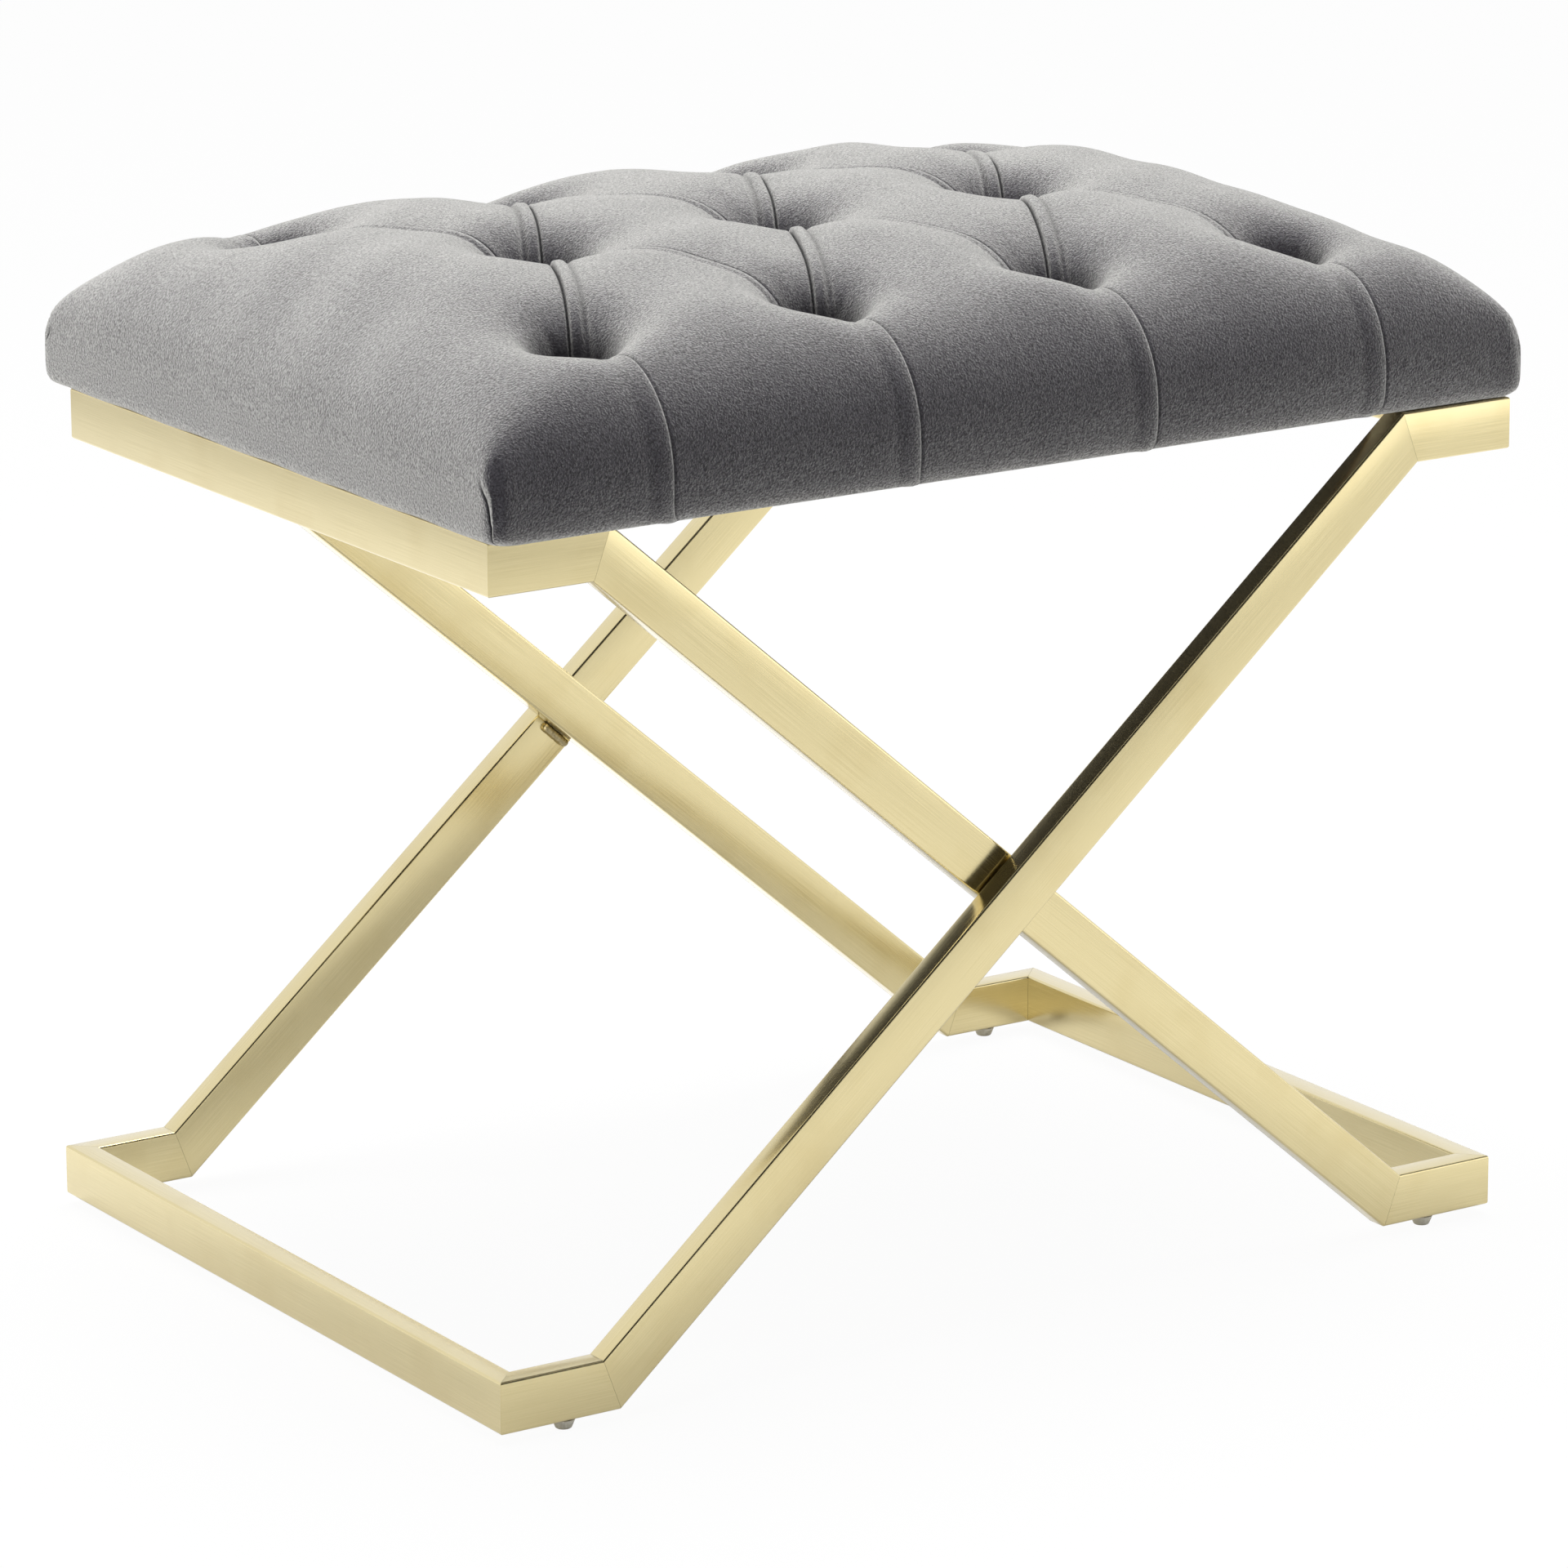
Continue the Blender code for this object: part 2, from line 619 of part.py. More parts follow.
def add_board():
    """The plywood seat board, bored for the ties and counterbored for the nuts."""
    inset = DRAWN_IN + COVER_THICKNESS + CORNER_PULL + 2 * SEAT_GAP
    board = flat_panel(
        "seat_board",
        2 * (HALF_LENGTH - inset),
        2 * (HALF_WIDTH - inset),
        BOARD_THICKNESS,
        BOARD_CORNER,
        PLYWOOD,
        BOARD_BOTTOM,
    )
    through = 2 * BOARD_THICKNESS
    above = BOARD_TOP + BOARD_THICKNESS / 2
    holes = [(Vector((tuft.x, tuft.y, above)), through, TIE_HOLE) for tuft in TUFTS]
    drill(board, "tie_holes", holes, TIE_STEPS)
    barrels = []
    sinks = []
    sink = NUT_FLANGE_THICKNESS + 2 * SEAT_GAP
    for place in SCREW_PLACES:
        top = Vector((place.x, place.y, above))
        barrels.append((top, through, NUT_BARREL_RADIUS + SEAT_GAP))
        sinks.append((top, above - BOARD_TOP + sink, NUT_FLANGE_RADIUS + SEAT_GAP))
    drill(board, "nut_holes", barrels, SCREW_STEPS)
    drill(board, "nut_sinks", sinks, SCREW_STEPS)


def add_dust_cover():
    """Black cloth over the hem's edge under the seat, inside both frames."""
    length = TOP_LENGTH - 2 * (TUBE_THICKNESS + DUST_COVER_MARGIN)
    width = INNER_WIDTH - 2 * (TUBE_THICKNESS + DUST_COVER_MARGIN)
    bottom = COVER_BOTTOM - SEAT_GAP - DUST_COVER_THICKNESS
    flat_panel("dust_cover", length, width, DUST_COVER_THICKNESS, DUST_COVER_MARGIN, LINING, bottom)


def button_profile():
    """A domed, cloth-covered button with a rounded rim and a flat back."""
    dome = BUTTON_HEIGHT - BUTTON_RIM
    points = []
    for step in range(5):
        turn = math.pi / 2 * step / 4
        points.append((BUTTON_RADIUS * math.sin(turn), BUTTON_RIM + dome * math.cos(turn)))
    points[0] = (0.0, BUTTON_HEIGHT)
    points.append((BUTTON_RADIUS * 0.85, 0.0))
    points.append((0.0, 0.0))
    return points


def tie_profile():
    """Twine from the back of a button to a flat knot under the board."""
    top = COVER_BOTTOM + TUFT_SEAT_HEIGHT
    shoulder = BOARD_BOTTOM - SEAT_GAP
    knot = shoulder - COVER_THICKNESS
    return (
        (0.0, top),
        (TIE_RADIUS, top),
        (TIE_RADIUS, shoulder),
        (KNOT_RADIUS, shoulder),
        (KNOT_RADIUS, knot),
        (0.0, knot),
    )


def add_tufts():
    """A button and its tie at every tuft."""
    rows = {-1: "front", 0: "middle", 1: "back"}
    counts = {}
    for tuft in TUFTS:
        row = rows[round(tuft.y / TUFT_ROW)]
        counts[row] = counts.get(row, 0) + 1
        label = f"{row}_{counts[row]}"
        seat = COVER_BOTTOM + TUFT_SEAT_HEIGHT + SEAT_GAP
        turned(f"tuft_button_{label}", button_profile(), VELVET, (tuft.x, tuft.y, seat), BUTTON_STEPS)
        turned(f"tuft_tie_{label}", tie_profile(), TWINE, (tuft.x, tuft.y, 0.0), TIE_STEPS)


def add_fixings(rails):
    """Socket screws whose heads bear inside each top rail, and the flanged nuts they enter.

    A wider hole in the rail's underside lets the head and its key through.
    """
    head_top = FRAME_TOP - TUBE_WALL - SEAT_GAP
    head_bottom = head_top - SCREW_HEAD_HEIGHT
    tip = BOARD_TOP - NUT_FLANGE_THICKNESS
    screw_profile = (
        (0.0, tip),
        (SCREW_RADIUS - SCREW_TIP, tip),
        (SCREW_RADIUS, tip - SCREW_TIP),
        (SCREW_RADIUS, head_top),
        (SCREW_HEAD_RADIUS, head_top),
        (SCREW_HEAD_RADIUS, head_bottom),
        (SCREW_SOCKET_RADIUS, head_bottom),
        (SCREW_SOCKET_RADIUS, head_bottom + SCREW_SOCKET_DEPTH),
        (0.0, head_bottom + SCREW_SOCKET_DEPTH),
    )
    flange_top = BOARD_TOP - SEAT_GAP
    flange_bottom = flange_top - NUT_FLANGE_THICKNESS
    nut_profile = (
        (SCREW_HOLE, flange_top),
        (NUT_FLANGE_RADIUS, flange_top),
        (NUT_FLANGE_RADIUS, flange_bottom),
        (NUT_BARREL_RADIUS, flange_bottom),
        (NUT_BARREL_RADIUS, flange_top - NUT_BARREL_LENGTH),
        (SCREW_HOLE, flange_top - NUT_BARREL_LENGTH),
    )
    for place in SCREW_PLACES:
        end = "right" if place.x > 0 else "left"
        label = f"{'front' if place.y < 0 else 'back'}_{end}"
        turned(f"seat_screw_{label}", screw_profile, ZINC, (place.x, place.y, 0.0), SCREW_STEPS)
        turned(f"seat_nut_{label}", nut_profile, ZINC, (place.x, place.y, 0.0), SCREW_STEPS, bored=True)
    for rail, end in rails:
        shank_holes = []
        head_holes = []
        for place in SCREW_PLACES:
            if place.x * end > 0:
                above = Vector((place.x, place.y, FRAME_TOP + TUBE_HEIGHT / 2))
                middle = Vector((place.x, place.y, FRAME_TOP - TUBE_HEIGHT / 2))
                shank_holes.append((above, TUBE_HEIGHT, SCREW_HOLE))
                head_holes.append((middle, TUBE_HEIGHT, SCREW_HEAD_RADIUS + SCREW_ACCESS_EASE))
        drill(rail, f"{rail.name}_shank_holes", shank_holes, SCREW_STEPS)
        drill(rail, f"{rail.name}_head_holes", head_holes, SCREW_STEPS)


# Assembly

outer = tube_frame("outer", OUTER_WIDTH, 1)
inner = tube_frame("inner", INNER_WIDTH, -1)
add_weld("front_crossing_weld", 1.0)
add_weld("back_crossing_weld", -1.0)

glide_x = FLOOR_LENGTH / 2 - GLIDE_INSET
for prefix, frame, width, end in (("outer", outer, OUTER_WIDTH, -1), ("inner", inner, INNER_WIDTH, 1)):
    for place, side in (("front", -1), ("back", 1)):
        glide_y = side * (width - TUBE_THICKNESS) / 2
        add_glide(f"{prefix}_{place}_glide", frame[f"{place}_floor_stub"], end * glide_x, glide_y)

add_cover()
add_foam()
add_board()
add_dust_cover()
add_tufts()
add_fixings([(outer["top_rail"], 1), (inner["top_rail"], -1)])
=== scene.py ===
import math
from collections import namedtuple

import bmesh
import bpy
import numpy as np
from mathutils import Matrix, Vector


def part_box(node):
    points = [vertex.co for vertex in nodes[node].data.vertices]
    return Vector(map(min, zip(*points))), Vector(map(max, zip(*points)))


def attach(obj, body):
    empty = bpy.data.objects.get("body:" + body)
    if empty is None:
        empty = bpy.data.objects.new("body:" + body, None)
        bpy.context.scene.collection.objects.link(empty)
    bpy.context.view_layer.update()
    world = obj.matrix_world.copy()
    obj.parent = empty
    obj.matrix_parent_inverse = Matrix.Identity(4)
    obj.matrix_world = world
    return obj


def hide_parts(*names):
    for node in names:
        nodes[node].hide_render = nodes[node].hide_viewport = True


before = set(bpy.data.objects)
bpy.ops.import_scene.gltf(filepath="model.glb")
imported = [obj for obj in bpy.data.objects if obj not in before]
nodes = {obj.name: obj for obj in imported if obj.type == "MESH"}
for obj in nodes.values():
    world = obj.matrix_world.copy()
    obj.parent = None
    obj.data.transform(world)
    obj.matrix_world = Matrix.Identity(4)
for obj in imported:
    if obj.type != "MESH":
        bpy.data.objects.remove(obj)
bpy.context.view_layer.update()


# Frame tubes
# Two loops of 25.4 x 12.7 mm steel tube, mitred at every corner, welded and ground flush, then
# brass plated and brushed along each length. The inner loop is turned round inside the outer one.

TUBE_HEIGHT = 0.0254
TUBE_THICKNESS = 0.0127
TUBE_WALL = 0.0012
TUBE_CORNER = 0.0013
MITRE_GAP = 0.0001
MITRE_SPARE = 4 * TUBE_HEIGHT
STUB_LENGTH = 0.060
TUBE_NAMES = (
    "front_top_stub",
    "top_rail",
    "back_top_stub",
    "back_leg",
    "back_floor_stub",
    "floor_rail",
    "front_floor_stub",
    "front_leg",
)


def linear(colour):
    """An sRGB hex colour as the linear RGBA that shaders take."""
    parts = [int(colour[place:place + 2], 16) / 255 for place in (1, 3, 5)]
    return (*[part / 12.92 if part <= 0.04045 else ((part + 0.055) / 1.055) ** 2.4 for part in parts], 1.0)


def set_inputs(surface, node, inputs):
    """Sets a node's inputs, each to a value, or to a link from the socket that is given."""
    for name, value in inputs.items():
        if isinstance(value, bpy.types.NodeSocket):
            surface.node_tree.links.new(value, node.inputs[name])
        else:
            node.inputs[name].default_value = value


def add_node(surface, kind, inputs, **settings):
    """Adds a node with its settings, and with values or links for its inputs."""
    node = surface.node_tree.nodes.new(kind)
    for name, value in settings.items():
        setattr(node, name, value)
    set_inputs(surface, node, inputs)
    return node


def new_finish(name):
    """A new material for a finish, and its shader."""
    surface = bpy.data.materials.new(name)
    surface.use_nodes = True
    return surface, surface.node_tree.nodes["Principled BSDF"]


def dress(piece, surface):
    """Gives a piece its only material."""
    piece.data.materials.clear()
    piece.data.materials.append(surface)


def start_piece(name, add_primitive, **sizes):
    """Adds a primitive as a new piece, with nothing else selected, and opens it in edit mode."""
    bpy.ops.object.select_all(action="DESELECT")
    add_primitive(**sizes)
    piece = bpy.context.object
    piece.name = name
    piece.data.name = name
    bpy.ops.object.mode_set(mode="EDIT")
    return piece


def pick(piece, kind, wanted):
    """Selects the vertices, edges or faces of a piece in edit mode that a test wants, and no others."""
    bpy.ops.mesh.select_mode(type=kind)
    bpy.ops.mesh.select_all(action="DESELECT")
    shape = bmesh.from_edit_mesh(piece.data)
    for item in {"VERT": shape.verts, "EDGE": shape.edges, "FACE": shape.faces}[kind]:
        if wanted(item):
            item.select_set(True)
    shape.select_flush_mode()
    bmesh.update_edit_mesh(piece.data)


def apply_modifiers(piece):
    """Applies every modifier of a piece, in order."""
    bpy.context.view_layer.objects.active = piece
    for modifier in list(piece.modifiers):
        bpy.ops.object.modifier_apply(modifier=modifier.name)


def thicken(piece, thickness):
    """Gives an open skin its thickness, inwards from its outer face."""
    wall = piece.modifiers.new("wall", "SOLIDIFY")
    wall.thickness = thickness
    wall.offset = -1.0
    apply_modifiers(piece)


def finish_piece(piece, surface, angle=35.0):
    """Leaves edit mode, puts a piece's place into its mesh, and gives it its finish and shading."""
    if bpy.context.mode != "OBJECT":
        bpy.ops.object.mode_set(mode="OBJECT")
    bpy.ops.object.select_all(action="DESELECT")
    piece.select_set(True)
    bpy.context.view_layer.objects.active = piece
    bpy.ops.object.transform_apply(location=True, rotation=True, scale=True)
    bpy.ops.object.shade_smooth_by_angle(angle=math.radians(angle))
    dress(piece, surface)
    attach(piece, "root")


# Brushed brass plate: a pale warm metal whose belt-brushed lines run along the tube and blur the
# reflections across it, with faint darker clouds where the lacquer is uneven.
brass, brass_shader = new_finish("brushed_brass_plate")
tube_length = add_node(brass, "ShaderNodeUVMap", {}, uv_map="along_tube")
# Lines 0.4 mm apart and about 50 mm long; real ones are finer, and these are as coarse as shows
brush_place = add_node(
    brass, "ShaderNodeMapping", {"Vector": tube_length.outputs["UV"], "Scale": (20.0, 2500.0, 1.0)}
)
brush_lines = add_node(
    brass, "ShaderNodeTexNoise", {"Vector": brush_place.outputs["Vector"], "Scale": 1.0, "Detail": 3.0}
)
brush_tone = add_node(
    brass,
    "ShaderNodeMix",
    {0: brush_lines.outputs["Fac"], 6: linear("#CFBF8A"), 7: linear("#EDDFAE")},
    data_type="RGBA",
)
cloud_place = add_node(brass, "ShaderNodeTexCoord", {})
# Clouds about 40 mm across
clouds = add_node(
    brass, "ShaderNodeTexNoise", {"Vector": cloud_place.outputs["Object"], "Scale": 25.0, "Detail": 2.0}
)
cloud_share = add_node(
    brass,
    "ShaderNodeMapRange",
    {"Value": clouds.outputs["Fac"], "From Min": 0.5, "From Max": 0.75, "To Min": 0.0, "To Max": 0.3},
)
brass_tone = add_node(
    brass,
    "ShaderNodeMix",
    {0: cloud_share.outputs["Result"], 6: brush_tone.outputs[2], 7: linear("#CBB67A")},
    data_type="RGBA",
)
brush_gloss = add_node(
    brass,
    "ShaderNodeMapRange",
    {"Value": brush_lines.outputs["Fac"], "From Min": 0.3, "From Max": 0.7, "To Min": 0.16, "To Max": 0.24},
)
brush_relief = add_node(
    brass,
    "ShaderNodeBump",
    {"Height": brush_lines.outputs["Fac"], "Strength": 0.008, "Distance": 0.0001},
)
brush_run = add_node(brass, "ShaderNodeTangent", {}, direction_type="UV_MAP", uv_map="along_tube")
set_inputs(
    brass,
    brass_shader,
    {
        "Base Color": brass_tone.outputs[2],
        "Metallic": 1.0,
        "Roughness": brush_gloss.outputs["Result"],
        "Coat Weight": 1.0,
        "Coat Roughness": 0.2,
        "Anisotropic": 0.75,
        "Anisotropic Rotation": 0.25,
        "Normal": brush_relief.outputs["Normal"],
        "Tangent": brush_run.outputs["Tangent"],
    },
)


def model_tube(name, corners, index):
    """One hollow tube between two corners of its loop, mitred against its neighbours."""
    before, start, end, after = (corners[(index + step) % len(corners)] for step in (-1, 0, 1, 2))
    along = (end - start).normalized()
    side = Vector((1.0, 0.0, 0.0)) if "rail" in name else Vector((0.0, 1.0, 0.0))
    placement = Matrix((along, side, along.cross(side))).transposed().to_4x4()
    placement.translation = (start + end) / 2
    local = placement.inverted()
    length = (end - start).length + MITRE_SPARE

    tube = start_piece(f"{name}_tube", bpy.ops.mesh.primitive_cube_add, size=1.0)
    bpy.ops.transform.resize(value=(length, TUBE_THICKNESS, TUBE_HEIGHT))
    pick(tube, "FACE", lambda face: abs(face.normal.x) > 0.5)
    bpy.ops.mesh.delete(type="ONLY_FACE")
    pick(tube, "EDGE", lambda edge: edge.calc_length() > length / 2)
    bpy.ops.mesh.bevel(offset=TUBE_CORNER, segments=4, profile=0.5, affect="EDGES")
    incoming = (start - before).normalized()
    outgoing = (after - end).normalized()
    for corner, facing in ((start, -(incoming + along)), (end, along + outgoing)):
        facing = facing.normalized()
        bpy.ops.mesh.select_all(action="SELECT")
        bpy.ops.mesh.bisect(
            plane_co=local @ (corner - facing * MITRE_GAP / 2),
            plane_no=local.to_3x3() @ facing,
            clear_outer=True,
        )
    bpy.ops.mesh.select_all(action="SELECT")
    bpy.ops.mesh.normals_make_consistent(inside=False)
    bpy.ops.object.mode_set(mode="OBJECT")
    thicken(tube, TUBE_WALL)
    along_tube = tube.data.uv_layers.new(name="along_tube")
    for loop in tube.data.loops:
        place = tube.data.vertices[loop.vertex_index].co
        along_tube.data[loop.index].uv = (place.x + index, place.y + place.z)
    tube.matrix_world = placement
    finish_piece(tube, brass)
    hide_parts(name)
    return tube


tubes = {}
for prefix, turn in (("outer", 1), ("inner", -1)):
    top_low, top_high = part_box(f"{prefix}_top_rail")
    floor_low, floor_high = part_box(f"{prefix}_floor_rail")
    top_end = (top_low + top_high) / 2
    floor_end = (floor_low + floor_high) / 2
    y = top_high.y - TUBE_THICKNESS / 2
    reach = STUB_LENGTH - TUBE_THICKNESS / 2
    loop_corners = [
        Vector((top_end.x - turn * reach, -y, top_end.z)),
        Vector((top_end.x, -y, top_end.z)),
        Vector((top_end.x, y, top_end.z)),
        Vector((top_end.x - turn * reach, y, top_end.z)),
        Vector((floor_end.x + turn * reach, y, floor_end.z)),
        Vector((floor_end.x, y, floor_end.z)),
        Vector((floor_end.x, -y, floor_end.z)),
        Vector((floor_end.x + turn * reach, -y, floor_end.z)),
    ]
    for index, tube_name in enumerate(TUBE_NAMES):
        tubes[f"{prefix}_{tube_name}"] = model_tube(f"{prefix}_{tube_name}", loop_corners, index)


# Crossing welds
# A short fillet of overlapping weld puddles under each inner leg, on the inner face of the outer
# leg. It is plated with the frame, so it is brass coloured, with soot left in its roots.

WELD_PUDDLES = 9
WELD_LENGTH = 0.0145
WELD_SINK = 0.0008
WELD_SLOPE = 40.0
WELD_GRAIN = 0.0003
PUDDLE_RADIUS = 0.0022
PUDDLE_SHAPE = (0.75, 0.95, 1.0)
PUDDLE_TURN = 12.0

# Plated weld: rippled bright metal, browned by heat in its roots
weld_metal, weld_shader = new_finish("plated_weld_bead")
weld_place = add_node(weld_metal, "ShaderNodeTexCoord", {})
# Heat stains about 2 mm across
stains = add_node(
    weld_metal,
    "ShaderNodeTexNoise",
    {"Vector": weld_place.outputs["Object"], "Scale": 500.0, "Detail": 3.0},
)
weld_tone = add_node(
    weld_metal,
    "ShaderNodeMix",
    {0: stains.outputs["Fac"], 6: linear("#6E5C3A"), 7: linear("#E0D2A6")},
    data_type="RGBA",
)
set_inputs(
    weld_metal, weld_shader, {"Base Color": weld_tone.outputs[2], "Metallic": 1.0, "Roughness": 0.38}
)

for place in ("front", "back"):
    low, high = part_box(f"{place}_crossing_weld")
    facing = 1.0 if place == "front" else -1.0
    size = high - low
    run = Vector((size.x, 0.0, -size.z)).normalized()
    middle = (low + high) / 2
    beads = []
    for puddle in range(WELD_PUDDLES):
        share = puddle / (WELD_PUDDLES - 1) - 0.5
        at = middle + run * share * WELD_LENGTH
        at.y = middle.y - facing * WELD_SINK
        bead = start_piece(
            "puddle", bpy.ops.mesh.primitive_ico_sphere_add, subdivisions=3, radius=PUDDLE_RADIUS
        )
        bpy.ops.transform.resize(value=PUDDLE_SHAPE)
        bpy.ops.object.mode_set(mode="OBJECT")
        bead.rotation_euler = (0.0, math.radians(WELD_SLOPE + PUDDLE_TURN * (puddle % 3 - 1)), 0.0)
        bead.location = at
        beads.append(bead)
    bpy.ops.object.select_all(action="DESELECT")
    for bead in beads:
        bead.select_set(True)
    bpy.context.view_layer.objects.active = beads[0]
    bpy.ops.object.join()
    weld = bpy.context.object
    weld.name = f"{place}_weld_bead"
    bpy.ops.object.transform_apply(location=True, rotation=True, scale=True)
    skin = weld.modifiers.new("melted", "REMESH")
    skin.mode = "VOXEL"
    skin.voxel_size = WELD_GRAIN
    apply_modifiers(weld)
    finish_piece(weld, weld_metal, angle=80.0)
    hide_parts(f"{place}_crossing_weld")


# Floor glides
# A small tapered plug of translucent white nylon under each floor corner, with a tapered stem
# pushed into a hole in the tube.

GLIDE_HOLE = 0.0035
GLIDE_STEM = 0.0030
GLIDE_GAP = 0.0003
GLIDE_TAPER = 0.66
GLIDE_FOOT_ROUND = 0.0006
GLIDE_RIM_ROUND = 0.0004
STEM_TAPER = 0.8

# Moulded nylon: milky white that light sinks into, with a dull shine and faint scuffs
nylon, nylon_shader = new_finish("moulded_white_nylon")
nylon_place = add_node(nylon, "ShaderNodeTexCoord", {})
# Scuffs about 1.5 mm across
scuffs = add_node(
    nylon, "ShaderNodeTexNoise", {"Vector": nylon_place.outputs["Object"], "Scale": 650.0, "Detail": 3.0}
)
nylon_tone = add_node(
    nylon,
    "ShaderNodeMix",
    {0: scuffs.outputs["Fac"], 6: linear("#CFCBBC"), 7: linear("#E6E3D8")},
    data_type="RGBA",
)
set_inputs(
    nylon,
    nylon_shader,
    {
        "Base Color": nylon_tone.outputs[2],
        "Roughness": 0.42,
        "IOR": 1.53,
        "Subsurface Weight": 0.4,
        "Subsurface Radius": (0.003, 0.003, 0.0025),
    },
)


def bore(tube, centre, radius):
    """Bores an upright round hole through the wall of a tube that its centre lies in."""
    bpy.ops.object.select_all(action="DESELECT")
    bpy.ops.mesh.primitive_cylinder_add(vertices=24, radius=radius, depth=3 * TUBE_WALL, location=centre)
    drill = bpy.context.object
    cut = tube.modifiers.new("bore", "BOOLEAN")
    cut.operation = "DIFFERENCE"
    cut.solver = "EXACT"
    cut.object = drill
    apply_modifiers(tube)
    bpy.data.objects.remove(drill, do_unlink=True)


for name in ("outer_front", "outer_back", "inner_front", "inner_back"):
    low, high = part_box(f"{name}_glide")
    centre = (low + high) / 2
    foot_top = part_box(f"{name}_floor_stub")[0].z
    radius = (high.x - low.x) / 2
    bore(tubes[f"{name}_floor_stub"], (centre.x, centre.y, foot_top), GLIDE_HOLE)
    glide = start_piece(
        f"{name}_glide_plug",
        bpy.ops.mesh.primitive_cylinder_add,
        vertices=40,
        radius=radius,
        depth=foot_top - GLIDE_GAP,
        location=(centre.x, centre.y, (foot_top - GLIDE_GAP) / 2),
    )
    pick(glide, "FACE", lambda face: face.normal.z < -0.5)
    bpy.ops.transform.resize(value=(GLIDE_TAPER, GLIDE_TAPER, 1.0))
    bpy.ops.mesh.bevel(offset=GLIDE_FOOT_ROUND, segments=3, affect="EDGES")
    pick(glide, "FACE", lambda face: face.normal.z > 0.5)
    bpy.ops.mesh.bevel(offset=GLIDE_RIM_ROUND, segments=2, affect="EDGES")
    pick(glide, "FACE", lambda face: face.normal.z > 0.9 and len(face.verts) > 30)
    bpy.ops.mesh.inset(thickness=radius - GLIDE_RIM_ROUND - GLIDE_STEM, depth=0.0)
    bpy.ops.mesh.extrude_region_move(TRANSFORM_OT_translate={"value": (0.0, 0.0, high.z - foot_top)})
    bpy.ops.transform.resize(value=(STEM_TAPER, STEM_TAPER, 1.0))
    finish_piece(glide, nylon)
    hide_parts(f"{name}_glide")


# Seat screws and nuts
# Four zinc-plated socket screws whose heads bear inside the top rails, reached by a wider hole in
# the rail's underside. They go up into flanged nuts in the seat board.

SCREW_SHANK = 0.0025
SCREW_TIP = 0.0008
SCREW_HEAD = 0.0050
SCREW_HEAD_ROUND = 0.0005
SCREW_SOCKET = 0.0021
SCREW_HOLE = 0.0028
SCREW_ACCESS = 0.0047

# Bright zinc plate: a cold grey metal, dulled in patches by a cloudy bloom
zinc, zinc_shader = new_finish("bright_zinc_plate")
zinc_place = add_node(zinc, "ShaderNodeTexCoord", {})
# Plating bloom about 3 mm across
bloom = add_node(
    zinc, "ShaderNodeTexNoise", {"Vector": zinc_place.outputs["Object"], "Scale": 330.0, "Detail": 2.0}
)
zinc_tone = add_node(
    zinc,
    "ShaderNodeMix",
    {0: bloom.outputs["Fac"], 6: linear("#A8AAB0"), 7: linear("#D2D4D8")},
    data_type="RGBA",
)
zinc_gloss = add_node(
    zinc, "ShaderNodeMapRange", {"Value": bloom.outputs["Fac"], "To Min": 0.22, "To Max": 0.42}
)
set_inputs(
    zinc,
    zinc_shader,
    {"Base Color": zinc_tone.outputs[2], "Metallic": 1.0, "Roughness": zinc_gloss.outputs["Result"]},
)

for corner in ("front_left", "front_right", "back_left", "back_right"):
    low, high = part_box(f"seat_screw_{corner}")
    centre = (low + high) / 2
    radius = (high.x - low.x) / 2
    rail = "inner_top_rail" if "left" in corner else "outer_top_rail"
    rail_low, rail_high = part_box(rail)
    bore(tubes[rail], (centre.x, centre.y, rail_high.z), SCREW_HOLE)
    bore(tubes[rail], (centre.x, centre.y, rail_low.z), SCREW_ACCESS)
    screw = start_piece(
        f"seat_screw_{corner}_head",
        bpy.ops.mesh.primitive_cylinder_add,
        vertices=32,
        radius=radius,
        depth=SCREW_HEAD,
        location=(centre.x, centre.y, low.z + SCREW_HEAD / 2),
    )
    pick(screw, "FACE", lambda face: face.normal.z > 0.5)
    bpy.ops.mesh.inset(thickness=radius - SCREW_SHANK, depth=0.0)
    shank = high.z - low.z - SCREW_HEAD
    bpy.ops.mesh.extrude_region_move(TRANSFORM_OT_translate={"value": (0.0, 0.0, shank)})
    bpy.ops.mesh.bevel(offset=SCREW_TIP, segments=1, affect="EDGES")
    pick(screw, "FACE", lambda face: face.normal.z < -0.5)
    bpy.ops.mesh.bevel(offset=SCREW_HEAD_ROUND, segments=3, affect="EDGES")
    pick(screw, "FACE", lambda face: face.normal.z < -0.99 and len(face.verts) > 20)
    bpy.ops.mesh.inset(thickness=radius - SCREW_HEAD_ROUND - SCREW_SOCKET, depth=0.0)
    bpy.ops.mesh.extrude_region_move(TRANSFORM_OT_translate={"value": (0.0, 0.0, SCREW_HEAD / 2)})
    finish_piece(screw, zinc)
    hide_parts(f"seat_screw_{corner}")
    dress(nodes[f"seat_nut_{corner}"], zinc)


# Seat board
# A 12 mm plywood panel inside the cover, bored for the ties and counterbored for the nuts. It is
# hidden when the seat is whole, so its solid stays and only gets its wood.

# Birch plywood: warm pale wood with fine straight grain and no varnish
plywood, plywood_shader = new_finish("birch_plywood")
plywood_place = add_node(plywood, "ShaderNodeTexCoord", {})
